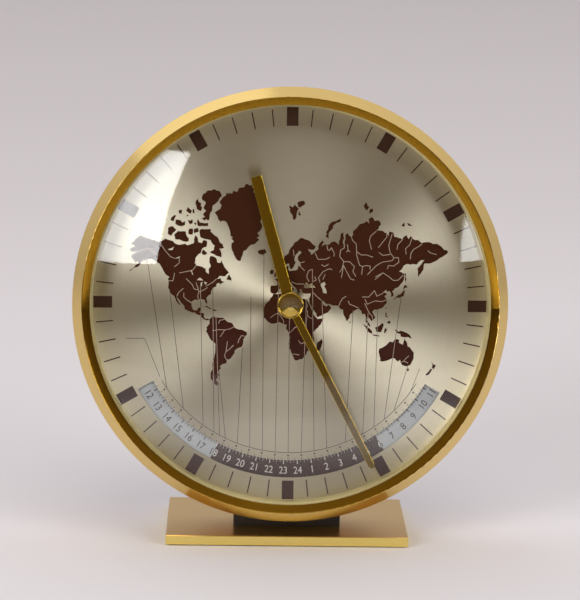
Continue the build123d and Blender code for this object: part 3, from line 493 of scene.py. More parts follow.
def base_metal(name):
    """Brass with a top brushed from side to side and polished edges; the top is coloured darker than the
    edges and front as painted shade.
    """
    shader = Shader(name)
    facing = shader.add("SeparateXYZ", {"Vector": shader.add("NewGeometry", {})["True Normal"]})["Z"]
    # Upward faces take the darker top colour, a painted shade
    shader.vary(facing, (base_edge_color, base_top_shade_color), base_roughs)
    shader.bump(shader.noise(shader.place(base_scales)), streak_depth, streak_relief_share)
    shader.brush("X", base_brush_share, 0.0)
    return shader.material


def hand_metal(name, angle):
    """Brass brushed along a hand."""
    shader = Shader(name)
    streaks = shader.hand_streaks(angle)
    shader.vary(streaks, shades(hand_color, hand_dim_share), hand_roughs)
    shader.bump(streaks, hand_streak_depth, hand_relief_share)
    return shader.material


def drawn_metal(name, color, rough, scales):
    """Metal with straight brushing, finest along the axes of large scale."""
    shader = Shader(name)
    streaks = shader.noise(shader.place(scales))
    shader.vary(streaks, shades(color, drawn_dim_share), about(rough, drawn_rough_swing))
    shader.bump(streaks, streak_depth, streak_relief_share)
    return shader.material


def grained(name, dark, light, rough, scale, depth=fine_grain, metallic_share=0.0, gloss_share=0.5):
    """A plain surface with a fine even grain."""
    shader = Shader(name)
    grain = shader.noise(shader.place(), scale, grain_detail)
    shader.vary(grain, (dark, light), about(rough, grain_rough_swing), metallic_share)
    shader.set(Specular_IOR_Level=gloss_share)
    shader.bump(grain, depth, grain_relief_share)
    return shader.material


def ink(name, color):
    dark, light = shades(color, ink_dim_share)
    return grained(name, dark, light, ink_rough, ink_scale, ink_grain, gloss_share=ink_gloss_share)


def clear_glass(name):
    """Thin clear glass: light goes straight through, and both faces mirror by the angle alike."""
    shader = Shader(name)
    smears = shader.noise(shader.place(), smear_scale)
    through = shader.add("BsdfTransparent", {"Color": glass_tint})["BSDF"]
    gloss = shader.add("BsdfGlossy", {"Roughness": shader.spread(smears, *smear_roughs)})["BSDF"]
    behind = shader.add("NewGeometry", {})["Backfacing"]
    index = shader.ranged(behind, 0.0, 1.0, glass_index, 1 / glass_index)
    share = shader.add("Fresnel", {"IOR": index})["Fac"]
    shader.replace_surface(shader.add("MixShader", {"Fac": share, 1: through, 2: gloss})["Shader"])
    return shader.material


def sweep_paper(name):
    """Pale paper with painted shade by depth, dimmer toward the front and far behind than about the clock
    and near black far in front of it, with a strip of light before its foot.

    The strip shows in mirrors alone, as a lamp out of the picture would.
    """
    shader = Shader(name)
    depth = shader.add("SeparateXYZ", {"Vector": shader.place()})["Y"]
    seen = shader.add("LightPath", {})["Is Camera Ray"]
    glow_stops = [(place, (glow, glow, glow)) for place, glow in floor_glow_stops]
    shader.set(
        Roughness=floor_rough,
        Base_Color=shader.stages(depth, floor_shade_stops),
        Emission_Color=shader.stages(depth, glow_stops),
        Emission_Strength=shader.add("Math", {0: 1.0, 1: seen}, operation="SUBTRACT")["Value"])
    shader.bump(shader.noise(shader.place(), floor_scale), floor_grain, floor_relief_share)
    return shader.material


def softbox_cloth(name, heights, radiances):
    """Glowing cloth, its radiance rising evenly from the box's foot to its top."""
    shader = Shader(name)
    height = shader.add("SeparateXYZ", {"Vector": shader.place()})["Z"]
    glow = shader.add("Emission", {"Strength": shader.ranged(height, *heights, *radiances)})
    shader.replace_surface(glow["Emission"])
    return shader.material


turned_brass = turned_metal("turned_brass", brass, rough=0.26, brush_share=0.6)
cap_brass = turned_metal(
    "cap_brass", cap_color, rough=0.06, brush_share=0.0, across=cap_across, relief_share=cap_relief_share)
brushed_dial = turned_metal("brushed_silver", dial_color, rough=0.45, brush_share=0.97, across=dial_across)
ring_metal = turned_metal(
    "satin_ring", ring_color, rough=0.6, brush_share=0.0, relief_share=ring_relief_share)
dark_ink = ink("brown_ink", dark_ink_color)
map_ink = ink("map_ink", map_color)
pale_ink = ink("pale_ink", pale_ink_color)
night_card = ink("night_print", night_color)
river_foil = ink("pale_lines", river_color)

# Materials of the record's slots. A drawn metal has a colour, a roughness and its scales; a grained
# surface has its darkest and lightest colour, a roughness, a scale and the depth of its grain.
slot_materials = {
    "polished_brass": turned_brass,
    "hand_brass": cap_brass,
    "dial_silver": brushed_dial,
    "spacer_dark": ring_metal,
    "glass": clear_glass("clear_glass"),
    "movement_brass": drawn_metal("movement_brass", (0.70, 0.55, 0.28), 0.35, (4000.0, 600.0, 4000.0)),
    "steel": drawn_metal("turned_steel", (0.62, 0.62, 0.64), 0.3, (1500.0, 300.0, 1500.0)),
    "contact_metal": drawn_metal("nickel_strip", (0.75, 0.73, 0.68), 0.25, (200.0, 2000.0, 2000.0)),
    "copper": drawn_metal("copper_wire", (0.6, 0.28, 0.14), 0.3, (4000.0, 200.0, 200.0)),
    "pedestal_black": grained("satin_black", (0.010, 0.008, 0.007), (0.022, 0.018, 0.015), 0.42, 1500.0),
    "felt": grained("black_felt", (0.010, 0.010, 0.010), (0.05, 0.05, 0.05), 0.9, 2500.0, felt_grain),
    "disc_print": grained(
        "day_card", (0.338, 0.353, 0.384), (0.376, 0.39, 0.422), 0.6, 2500.0, card_grain),
    "gasket_rubber": grained("amber_rubber", (0.55, 0.46, 0.28), (0.62, 0.52, 0.32), 0.4, 2000.0),
    "cover_plastic": grained(
        "moulded_black", (0.016, 0.016, 0.017), (0.03, 0.03, 0.031), 0.5, 1800.0, moulded_grain),
    "knob_plastic": grained("knob_black", (0.02, 0.02, 0.02), (0.04, 0.04, 0.04), 0.32, 1500.0),
    "board_green": grained("solder_mask", (0.02, 0.13, 0.05), (0.04, 0.2, 0.09), 0.4, 900.0),
    "chip_black": grained("chip_resin", (0.012, 0.012, 0.012), (0.025, 0.025, 0.025), 0.6, 3000.0),
    "magnet_grey": grained(
        "sintered_grey", (0.12, 0.12, 0.125), (0.22, 0.22, 0.23), 0.55, 2500.0, metallic_share=0.6),
    "bobbin_plastic": grained("natural_nylon", (0.72, 0.70, 0.62), (0.85, 0.83, 0.76), 0.5, 800.0),
    "battery_label": grained(
        "battery_sleeve", (0.06, 0.15, 0.22), (0.10, 0.22, 0.30), 0.3, 400.0, sleeve_grain),
}


def dress(node, material):
    data = frame["nodes"][node].data
    data.materials.clear()
    data.materials.append(material)


def dress_frame():
    """Gives each CAD node the material of its slot in the record, or one of its own."""
    for part in frame["record"]["subparts"]:
        dress(part["node"], slot_materials[part["material_slot"]])
    dress("base_plate", base_metal("base_brass"))
    dress("bezel", bezel_metal("bezel_brass"))
    dress("hour_hand", hand_metal("hour_brass", hour_hand_angle))
    dress("minute_hand", hand_metal("minute_brass", minute_hand_angle))


# World map: coasts as longitudes and latitudes, lakes and inner seas as holes, and rivers

north_america = [
    (-168, 65.6), (-162, 66.5), (-166, 68.3), (-156.6, 71.3), (-145, 70), (-135, 69), (-128, 70.3),
    (-122, 69.5), (-115, 68), (-108, 68), (-101, 67.8), (-96, 68.5), (-95, 71.5), (-92, 71), (-91, 69),
    (-87, 68.5), (-85, 69.8), (-81.5, 69.5), (-81.5, 67), (-86, 66.3), (-87.5, 64.5), (-90.5, 63.5),
    (-94, 61), (-94.7, 58.8), (-92.5, 57), (-88, 56.5), (-82.3, 55.2), (-82, 52.8), (-79, 51.3),
    (-79, 54.5), (-76.7, 56.5), (-78.3, 59), (-77.5, 62.4), (-73.5, 62.3), (-70, 61), (-69.5, 59),
    (-66, 58.8), (-64.5, 60.3), (-62, 57.5), (-60, 55.5), (-56, 52.5), (-60, 50.2), (-66.5, 50.2),
    (-69.5, 48), (-65, 48.8), (-65, 47), (-61, 45.5), (-66, 43.6), (-67, 45), (-70, 43.8), (-70, 41.8),
    (-74, 40.5), (-76, 37), (-75.6, 35.3), (-79, 33.5), (-81.3, 31), (-80.1, 27), (-80.5, 25.3),
    (-82, 26.8), (-83, 29.3), (-85.3, 29.8), (-89.3, 30.2), (-89.3, 29), (-94, 29.5), (-97.3, 27.5),
    (-97.6, 22.5), (-96, 19.2), (-94.3, 18.2), (-91, 18.7), (-90.3, 21), (-87, 21.5), (-87.8, 18.3),
    (-88.5, 15.8), (-83.3, 15), (-83.7, 11), (-81.5, 9), (-79.5, 9.5), (-77.4, 8.5), (-78.3, 7.8),
    (-80.3, 7.3), (-83, 8.3), (-85.7, 10.2), (-87.5, 13), (-91.5, 14), (-94.5, 16.2), (-97, 15.8),
    (-101.5, 17.6), (-105.6, 20.3), (-105.5, 22.5), (-109.3, 26), (-112.8, 30.5), (-114.8, 31.7),
    (-113.5, 29.3), (-111.3, 26), (-109.5, 23), (-112.2, 24.8), (-115, 28), (-116, 30.5),
    (-117.2, 32.7), (-120.6, 34.5), (-122.4, 37.5), (-124.3, 40.4), (-124, 46.2), (-124.6, 48.3),
    (-122.5, 48.5), (-127.5, 51), (-130.5, 54.5), (-134, 58), (-139.8, 59.7), (-146, 60.8),
    (-151.7, 59.3), (-151, 61), (-154, 59.2), (-156.4, 57), (-160, 55.5), (-164, 54.4), (-168, 52.9),
    (-167, 53.8), (-162.5, 55.6), (-158.5, 57.8), (-157.3, 58.8), (-162, 58.6), (-162.3, 59.9),
    (-165.2, 61), (-166, 62), (-164.5, 63.1), (-161, 63.6), (-161, 64.5), (-166.3, 64.4),
]
south_america = [
    (-77.4, 8.6), (-75.3, 10.8), (-71.7, 12.4), (-71.5, 10.9), (-68.2, 10.8), (-62, 10.6), (-60, 8.5),
    (-57, 6), (-52, 4.8), (-50, 1), (-48.5, -0.8), (-44, -2.6), (-40, -2.9), (-35.3, -5.3), (-34.8, -8),
    (-37, -11), (-39, -13.5), (-39.2, -17.8), (-40.9, -21.9), (-44.5, -23.1), (-48.6, -26),
    (-48.7, -28.5), (-52.3, -33), (-55, -34.9), (-58.4, -34), (-57.2, -36.2), (-58, -38.3),
    (-62.2, -39), (-65, -41), (-63.7, -42.5), (-67.3, -46), (-65.8, -47.8), (-69, -51.5),
    (-68.3, -52.7), (-65.2, -54.7), (-69, -55.4), (-72.5, -53.5), (-75.5, -50), (-75.5, -47),
    (-73, -43.5), (-73.6, -39), (-71.5, -33), (-70.3, -26), (-70.2, -19), (-76.2, -14), (-79.5, -7.5),
    (-81.2, -5), (-80, -2.8), (-80.8, -0.8), (-77.3, 3.8), (-77.3, 7),
]
africa = [
    (-5.9, 35.9), (0, 35.8), (9.8, 37.3), (11, 35), (10.2, 33.9), (15, 32.4), (19.5, 30.4), (20.3, 32.5),
    (25, 31.6), (30, 31.3), (32.5, 31.1), (32.4, 29.8), (35.5, 24), (37.3, 20.8), (39.5, 15.6),
    (43.2, 11.5), (44, 10.5), (51.2, 11.9), (48, 4.5), (43, -0.8), (39.3, -5), (40.6, -11), (40.5, -15),
    (35, -19.8), (35.5, -24), (32.8, -26), (31.5, -29.3), (27, -33.6), (20, -34.8), (18.2, -33.5),
    (15, -26.8), (11.8, -18), (13.6, -12), (12.3, -6), (9, -1), (9.6, 3.8), (5.5, 4.3), (2, 6.3),
    (-3, 5), (-7.5, 4.4), (-12.5, 7.4), (-16.8, 12.5), (-17.4, 14.7), (-16.2, 19), (-17, 21),
    (-14.5, 26.2), (-9.8, 29.7), (-9.6, 31.5), (-6.8, 34),
]
eurasia = [
    (-9.4, 38.8), (-8.9, 43.2), (-1.8, 43.4), (-1.2, 46), (-4.7, 48.4), (-1.5, 48.7), (0, 49.5),
    (3, 51.2), (4.7, 53), (8.5, 53.6), (8.2, 57), (10.6, 57.7), (10.5, 55.5), (12, 54.2), (18.5, 54.7),
    (21, 55.5), (21.5, 57.5), (24.4, 57.2), (23.5, 59.2), (29.5, 60), (23, 60), (21.4, 61), (21.2, 63),
    (25.3, 65), (22.2, 65.8), (17.3, 62), (17.2, 60.6), (18.8, 59.9), (16.5, 57), (14.3, 55.5),
    (12.9, 55.5), (11.2, 58.9), (7, 58), (5.2, 59.5), (5, 62), (10.5, 64.3), (14, 67.5), (17, 69.3),
    (25.7, 71.1), (31, 70.4), (41, 67.7), (38.5, 66.3), (32.5, 66.6), (36, 63.9), (40, 65.3),
    (44, 66.5), (45.5, 69.2), (48.5, 70.3), (50, 69.5), (47, 67.5), (52, 68.7), (55.5, 68.6),
    (61.5, 69.9), (65, 69.2), (67, 68.6), (69, 72.8), (71.8, 73.2), (72.2, 68.8), (73.4, 68.8),
    (74.2, 72.4), (76.7, 73), (78.5, 72.1), (81, 71.8), (84, 74), (88.5, 75.3), (97.5, 76.6),
    (100.5, 75.9), (100, 77.2), (103.3, 77.7), (106.5, 76.7), (111.8, 76.8), (114, 75.7), (109, 74),
    (114, 73.9), (120.5, 73.1), (122.8, 72), (123.5, 73.7), (128, 73.4), (129, 71.9), (134.5, 71.5),
    (138, 71), (143, 72.6), (145.5, 71.2), (147.5, 72.3), (150, 71.2), (156, 70.9), (160, 69.7),
    (170.5, 69.9), (180, 68.9), (190, 66), (186, 64.4), (179.5, 62.5), (170, 60), (163.3, 59.8),
    (162.5, 56.2), (156.8, 51), (155.7, 56.8), (163.5, 61.8), (160, 61.8), (155, 59.3), (142.5, 59.3),
    (135.3, 54.8), (141.3, 53.2), (140.3, 48.5), (135, 43.5), (130.8, 42.3), (127.6, 39.5),
    (129.4, 36.8), (129, 35.2), (126.4, 34.5), (126.7, 37.2), (125, 39.6), (121.4, 39), (121.3, 40.8),
    (117.8, 39), (122.5, 37), (119.3, 35), (121.8, 31), (121.6, 28.3), (118.2, 24.4), (113.8, 22.4),
    (110.3, 21.2), (108, 21.6), (105.7, 19), (109.2, 13), (106.6, 10.3), (104.8, 8.8), (102.5, 12),
    (100.4, 13.4), (99.3, 10), (103.3, 4.5), (103.7, 1.4), (100.5, 5.5), (98.4, 8), (98.6, 13),
    (97.2, 16.9), (94.3, 16.1), (93.5, 19.9), (90.5, 22.4), (87, 21.2), (80.3, 15.5), (80, 12),
    (77.5, 8.1), (73, 17), (72.7, 21), (69.2, 22.3), (66.6, 25), (61.5, 25.2), (57.2, 26.8), (54, 26.7),
    (50.2, 30), (48, 30), (50, 26.7), (51.6, 25), (54.2, 24.2), (56.3, 26.2), (59.8, 22.4), (55.5, 17.6),
    (45, 12.8), (43.3, 13), (42.6, 16.5), (39, 21.5), (35, 28), (34.3, 31.2), (36, 35.8), (36, 36.8),
    (30.5, 36.5), (27.2, 37), (26.3, 39.3), (26.5, 40.6), (23, 40.4), (24, 38), (22.8, 36.5),
    (21.3, 37.8), (19.4, 41.5), (15, 44.5), (13.6, 45.6), (12.4, 44.5), (14, 42.5), (18.5, 40),
    (17, 40.3), (16, 38), (15.6, 40), (12.3, 41.8), (10, 44), (7.5, 43.8), (3.1, 43.2), (3, 41.8),
    (0.3, 40), (-0.3, 38.5), (-2, 36.8), (-5.6, 36), (-8.9, 37),
]
australia = [
    (114.2, -22), (113.5, -26), (115.7, -32), (115.1, -34.3), (118, -35), (123.5, -33.9), (129, -31.6),
    (131.3, -31.5), (135.5, -34.8), (137.8, -32.8), (138.5, -35.6), (140.5, -38), (143.6, -38.8),
    (146.3, -39), (150, -37.3), (153.2, -31), (153.2, -25.5), (149, -20.5), (146, -18.8), (145.3, -15),
    (142.6, -10.8), (141.6, -14), (140.8, -17.5), (136, -15), (136.8, -12.2), (132.5, -11.3),
    (130.8, -12.4), (129.5, -15), (126, -14), (122.2, -18), (119, -20),
]
greenland = [
    (-73, 78.2), (-70.5, 77.6), (-69, 76.6), (-66.5, 75.9), (-62, 76.2), (-59.5, 75.8), (-58, 75),
    (-56, 73.6), (-55, 72.5), (-54.8, 71.4), (-51.8, 70.9), (-54.4, 70.6), (-52, 69.9), (-51, 69.3),
    (-53.5, 68.7), (-53.7, 67), (-52.5, 65.2), (-51, 63.5), (-48.5, 61.4), (-45.5, 60.2), (-43.2, 60.1),
    (-42.5, 61.8), (-40.8, 63.8), (-40, 65.3), (-36.5, 66), (-32, 68.1), (-27, 68.6), (-22.5, 70.2),
    (-25.5, 71), (-22, 71.6), (-24.5, 72.8), (-20.5, 73.8), (-19.5, 75.2), (-21.5, 76.2), (-18.8, 77),
    (-21, 78.6), (-17.5, 80.1), (-13, 81.2), (-19.5, 81.4), (-23, 82.3), (-28, 82), (-31, 83.2),
    (-38, 83.4), (-40.5, 82.9), (-46, 82.8), (-48, 82.2), (-52, 82.4), (-54, 81.9), (-60, 82.1),
    (-60.5, 81.6), (-64.5, 81.2), (-67.5, 80.3), (-65.2, 79.8), (-66.5, 79.1),
]
islands = [
    [(-65, 61.9), (-71, 62.8), (-77.8, 64.4), (-73.5, 65.5), (-72.5, 67.6), (-77, 69.8), (-83, 70.2),
     (-89, 71.2), (-89.5, 73.5), (-81, 73.7), (-76, 72.6), (-68, 70.3), (-61.8, 66.6), (-67.5, 66.2),
     (-64.5, 63.5)],
    [(-117, 70), (-105, 69), (-101.5, 69.5), (-105, 72.8), (-114, 73), (-118, 71.5)],
    [(-125.5, 72), (-121.5, 71.2), (-115.5, 73.5), (-121, 74.5), (-125, 74)],
    [(-102, 72), (-97.5, 71.8), (-97.5, 73.8), (-101, 73.8)],
    [(-122.5, 76.2), (-119, 75.9), (-116, 77.3), (-117.5, 77.6), (-121.5, 76.9)],
    [(-113, 78), (-110, 77.8), (-109, 78.7), (-112.5, 78.8)],
    [(-105, 78.6), (-100, 77.9), (-98.5, 78.6), (-103, 79.4)],
    [(-97.8, 78.2), (-95.5, 77.9), (-95.8, 78.9), (-97.5, 79)],
    [(-105, 77.2), (-102, 77.4), (-103.5, 77.7)],
    [(-103, 76.4), (-100.5, 75.1), (-97.6, 75.4), (-98, 76.6), (-100, 76.1)],
    [(-96, 75.6), (-94, 74.8), (-93.3, 75.6)],
    [(-81, 73.6), (-80.5, 73), (-76.5, 73), (-77.5, 73.8)],
    [(-95.5, 72.3), (-90.5, 72.8), (-92, 74.1), (-95.5, 73.8)],
    [(-92, 74.8), (-80, 74.6), (-80, 75.6), (-89, 75.6), (-91.5, 76.7), (-92.5, 76)],
    [(-117, 75.3), (-112.5, 74.6), (-106, 74.9), (-106, 76), (-109, 75.6), (-112, 76.3), (-116.5, 76.4)],
    [(-89, 76.6), (-80, 76.2), (-78.5, 77.2), (-76, 78.6), (-75.5, 79.5), (-69, 80.6), (-65, 81.5),
     (-67, 82.2), (-73, 82.6), (-80, 82.4), (-85.5, 81.9), (-87.5, 81), (-83, 80.2), (-85.5, 79.2),
     (-82.5, 78.6), (-86, 77.8), (-83.5, 77.2)],
    [(-93, 79), (-88.5, 78.5), (-87, 79.3), (-91, 81.3), (-94.5, 80.2)],
    [(-85.5, 65.8), (-80.3, 64), (-84, 63), (-87, 64)],
    [(-55.5, 51.5), (-59.3, 47.7), (-53, 46.7), (-53.5, 49)],
    [(-85, 21.9), (-82, 23), (-80, 23.1), (-74.2, 20.2), (-77.7, 19.9), (-78.5, 21.2), (-82, 22.4)],
    [(-74.3, 18.4), (-72.8, 19.9), (-68.4, 18.6), (-71.5, 17.8)],
    [(-24, 65.5), (-22.5, 63.9), (-18.5, 63.4), (-13.7, 65), (-16, 66.4), (-20.5, 66)],
    [(-5.5, 50.1), (1.3, 51.2), (1.7, 52.7), (-1.5, 55), (-2, 57.6), (-3, 58.6), (-5, 58.6),
     (-5.7, 56.5), (-3, 54.5), (-4.5, 53), (-5, 51.8)],
    [(-10, 52), (-6.3, 52.2), (-5.7, 54.5), (-8.2, 55.2), (-10, 54)],
    [(12.5, 38), (15.5, 38.2), (15, 36.7)],
    [(8.3, 39), (9.7, 39.2), (9.3, 41.2), (8.3, 40.9)],
    [(10.7, 80), (14.5, 79.6), (17, 80.3), (21.5, 79.3), (19, 78), (16.3, 76.6), (14, 78), (11.3, 78.8)],
    [(19.3, 80.4), (26.8, 80.9), (28.4, 80.3), (23.6, 79.6), (20.4, 79.7)],
    [(22, 78.9), (24.3, 77.8), (21, 77.9)],
    [(51.5, 71.8), (55.3, 71), (56.2, 73.3), (62.5, 75.7), (69, 76.8), (68.4, 77.2),
     (60.4, 76.4), (55, 75.2)],
    [(94, 80), (96, 80.7), (100.4, 79.9), (98.3, 79.2)],
    [(100.5, 78.5), (101.5, 79.5), (104.7, 79.5), (104.2, 78.8)],
    [(136.7, 75.4), (140, 76.4), (140.5, 75.2)],
    [(142.6, 76.2), (150, 75.3), (145.3, 75.4)],
    [(142, 54.3), (143.3, 50), (143.5, 49), (142.5, 46), (141.8, 50)],
    [(140, 41.5), (145.4, 43.3), (142, 45.4), (140.4, 43.2)],
    [(131, 34), (135.5, 33.5), (140.8, 35.5), (142, 39.5), (141.2, 41.3), (140, 39.7), (137, 37),
     (133, 35.5)],
    [(129.8, 33.2), (131.8, 33.3), (130.8, 31.2)],
    [(120.2, 23), (121.7, 25.2), (120.9, 22)],
    [(108.8, 19), (110.8, 20), (109.8, 18.4)],
    [(120.3, 16), (120.8, 18.5), (122, 18.5), (121.6, 15.5), (124, 13), (121, 13.7)],
    [(122, 7), (125.5, 6), (126.4, 7.5), (125.5, 9.7), (123.5, 8.6)],
    [(109, 1.5), (113, 3.2), (116.8, 7), (119, 5), (117.8, 1), (116, -3.7), (110.3, -2.9)],
    [(95.3, 5.6), (98.5, 3.8), (103.5, 0), (106, -3), (105.7, -5.8), (102, -4), (98.5, 1.5)],
    [(105.2, -6.7), (108.5, -6.6), (114.4, -7.7), (114.4, -8.7), (108, -7.8)],
    [(119, -3), (120, 0.8), (125, 1.5), (121, 0.3), (123.3, -1), (121.5, -2), (122.5, -5),
     (120.8, -2.8), (120, -5.6)],
    [(131, -0.8), (134, -0.9), (135, -3.2), (138, -1.7), (144.5, -3.9), (147.8, -6), (150.7, -10.5),
     (146.5, -8.8), (143, -9.2), (138, -8.3), (137.8, -5.5), (133, -4), (132.8, -2.8)],
    [(144.8, -40.8), (148.3, -41), (147, -43.6)],
    [(172.8, -34.5), (175.5, -36.8), (178.4, -37.7), (176.8, -40.2), (175.2, -41.5), (173.9, -39.3),
     (174.7, -37.5)],
    [(172.8, -40.6), (174.3, -41.8), (171, -45.5), (168.4, -46.6), (166.5, -45.8), (170.8, -42.7)],
    [(79.8, 8), (81.8, 7.5), (80.5, 6)],
    [(49.3, -12), (50.4, -15.7), (47.1, -25), (44, -25), (43.3, -22), (44.3, -16.3)],
]
american_lakes = [
    [(-92, 46.7), (-88.5, 48.8), (-84.7, 46.7), (-88, 46.6)],
    [(-87.7, 41.8), (-86.3, 42), (-85.3, 45.6), (-87.8, 44.8)],
    [(-84, 45.9), (-80.2, 45), (-82.3, 43.2), (-83.6, 44.5)],
    [(-99, 53.8), (-97, 50.6), (-96.3, 51.2), (-98, 53.8)],
    [(-117, 61), (-109.5, 62.8), (-112, 61.3)],
    [(-125, 65.5), (-118, 67), (-119.5, 65.4)],
]
inner_seas = [
    [(28.2, 42), (28.7, 44), (31, 46.4), (33.5, 44.6), (36.5, 45.2), (38.5, 46.8), (37.8, 44.5),
     (41.5, 42), (35, 42), (31.5, 41.2)],
    [(47, 45), (51, 46.8), (53, 45), (51, 43), (53.8, 39), (54, 37), (50, 37.4), (49, 41), (47.5, 43)],
]
rivers = [
    [(-90, 30), (-91, 33), (-89.5, 37), (-91, 41), (-93, 45)],
    [(-90.2, 38.7), (-95, 39.5), (-97, 43), (-104, 48)],
    [(-89, 37), (-84, 38.8), (-80, 41)],
    [(-134.5, 68.8), (-128, 65), (-122, 62), (-117, 61)],
    [(-112, 61), (-112, 58.5), (-117.5, 56)],
    [(-70, 48), (-74, 45.4), (-78, 43.7), (-82, 42)],
    [(-164, 62.8), (-158, 64.8), (-145, 66), (-138, 63)],
    [(-93, 57), (-97, 54), (-104, 53), (-112, 52)],
    [(-114.5, 32.3), (-112, 36.5), (-107, 40)],
    [(-124, 46.2), (-119, 46), (-118, 49), (-117, 52)],
    [(-97.3, 26), (-103, 29.2), (-106.5, 32), (-106.5, 36)],
    [(-50, 0), (-55, -2.2), (-60, -3.2), (-67, -3), (-74, -4.5)],
    [(-60, -3.2), (-63, -8), (-65, -11)],
    [(-58.4, -34), (-60, -31), (-58.5, -27.3), (-54, -24), (-50, -20)],
    [(-58.5, -27.3), (-57.5, -21), (-57, -16)],
    [(-61, 8.7), (-66, 7.5), (-67, 4)],
    [(-37, -10.5), (-41, -9.3), (-44, -14), (-45, -18)],
    [(31, 31), (31, 28), (32.7, 25), (31, 21), (33, 18), (32.5, 15.5), (32, 10), (31.5, 5), (32, 1)],
    [(32.5, 15.5), (35, 12), (38, 11)],
    [(12.5, -6), (16, -3), (18.5, 0.5), (23, 2), (25.5, -2), (26.5, -8)],
    [(6, 4.5), (6, 8), (3.5, 12), (0, 16.5), (-4, 15), (-9, 11)],
    [(36, -18.5), (31, -15.6), (26, -17.8), (23, -14)],
    [(16.5, -28.6), (20, -28.8), (24, -29.5)],
    [(28.5, 44.8), (19.4, 44.8), (14, 46.6)],
    [(46.5, 46), (44.6, 49.8), (49.4, 54), (56, 56), (60, 55.6)],
    [(49.5, 48.4), (52, 52.3)],
    [(47.6, 58.5), (51.4, 57.4), (55.7, 59)],
    [(34, 46.8), (31.2, 50.4), (33.2, 54.5), (37, 55.5)],
    [(38.8, 46.9), (42, 48), (40.3, 50.5)],
    [(22.4, 58.1), (29, 54.5)],
    [(15.7, 66.2), (17, 63)],
    [(40, 65), (43.8, 61.5), (52.4, 61.6), (57, 62.7)],
    [(53.5, 68.5), (54.4, 66.4), (56.5, 66), (58.6, 67.3), (62, 64.6), (61.5, 63.2)],
    [(73, 68.8), (73, 67.2), (69, 66.3), (68, 63.2), (72.8, 60.4), (70.8, 56), (68.2, 53.8)],
    [(72.8, 60.4), (79.3, 60.4), (84.8, 57.6), (83.2, 54.5), (86.5, 51)],
    [(72.4, 58.3), (71.4, 54), (70.4, 50)],
    [(72.4, 58.3), (75.7, 54.8), (80.7, 49.2), (85, 48.4)],
    [(76.5, 68.8), (77.5, 66.3), (75.5, 65.4)],
    [(77.5, 66.3), (79.7, 65.4)],
    [(80, 72.2), (82.7, 70.2), (86.5, 69), (87.2, 63.8), (90.5, 58.5), (94, 57.7), (93, 52.3)],
    [(87.2, 65.7), (92, 64.1), (98.5, 64.1), (105.5, 63)],
    [(94, 57.7), (97.5, 58.3), (102.5, 58), (102.5, 55.9)],
    [(109, 73.8), (102.5, 72.1), (101, 70.3), (103.8, 66.7)],
    [(120.3, 72.9), (120.8, 71.8), (115.5, 69.6), (111.3, 67.6)],
    [(126.7, 73), (123, 68.5), (124.8, 65.2), (129.2, 62.8), (127, 61.3), (116, 60.4),
     (109.5, 58.4), (99.5, 52.4)],
    [(112, 65.4), (116.8, 64), (124.9, 64.5)],
    [(129.2, 62.8), (134, 63), (134.7, 60.5), (129, 58.2), (123, 58.5), (122, 56.4)],
    [(138.5, 71), (133.3, 69), (132.3, 66.8)],
    [(148.8, 71.4), (146.7, 69), (142, 67.3), (142.6, 64.6)],
    [(160.5, 69.4), (158, 68.6), (151, 67), (148, 65), (147.5, 62.2)],
    [(177, 64.7), (170, 65.5), (167, 66.5)],
    [(139.8, 52.6), (134.5, 48.8), (129, 48.4), (123.7, 51.2), (117, 53.8), (108.6, 51)],
    [(115, 52.7), (108, 49)],
    [(118.5, 38.5), (115.4, 36.9), (110.5, 35), (107.8, 40), (101.5, 34.2), (94, 34)],
    [(121, 31.6), (116, 29.8), (109, 30.5), (104, 28.8), (100, 27), (97, 32)],
    [(106.3, 10.5), (105.5, 14.5), (102, 18.3), (100, 22), (97, 28)],
    [(90, 23), (84, 25.5), (80, 26.8), (78.5, 30)],
    [(67.5, 24.3), (69.5, 28.5), (72, 32.5), (76, 34.5)],
    [(48, 30.5), (43, 34), (39, 37.5)],
    [(139.3, -35.3), (142, -34.2), (147, -36)],
    [(142, -34.2), (145, -31), (148, -29)],
]

# Leader lines: the zone's hours from the middle of the scale, and the line's points on the map
zone_lines = [
    (-12, [(-171, -14), (-150, -14)]), (-11, [(-148, 60)]), (-9, [(-122.4, 37.8)]), (-7, [(-88, 41.8)]),
    (-6, [(-74, 40.7)]), (-5.5, [(-70, 10.5)]), (-5, [(-66, -45)]), (-4, [(-40, -23)]),
    (-3, [(-31, 33)]), (-2, [(-17, 64)]), (-1, [(-0.1, 51.5)]), (0, [(12.5, 41.9)]), (1, [(31.2, 30)]),
    (2, [(37.6, 55.7)]), (3, [(49, 30)]), (4.5, [(84, 20)]), (6, [(101, 18)]), (7, [(112, 22.3)]),
    (8, [(138, 35)]), (9, [(147, -38)]), (11, [(160, -41)]),
]

def on_map(place):
    """A longitude and latitude on the dial, with parallels spaced to keep shapes true."""
    longitude, latitude = place
    stretch = math.log(math.tan(math.radians(45 + latitude / 2)))
    x = map_origin[0] + longitude * map_degree_width
    y = map_origin[1] + math.degrees(stretch) * map_degree_height
    return (x, y)


def mapped(places):
    return [on_map(place) for place in places]


coast_chance = random.Random(coast_seed)


def coast(outline):
    """A coast on the dial, with its long stretches made ragged, more so where the map is enlarged."""
    points = []
    for here, there in zip(outline, outline[1:] + outline[:1]):
        start = Vector(on_map(here))
        way = Vector(on_map(there)) - start
        side = way.orthogonal().normalized()
        jag = min(coast_jag / math.cos(math.radians(here[1])), coast_jag_share * way.length)
        count = max(1, round(way.length / coast_step))
        for i in range(count):
            swing = jag * coast_chance.uniform(-1, 1) if i else 0
            points.append(tuple(start + way * i / count + side * swing))
    return points


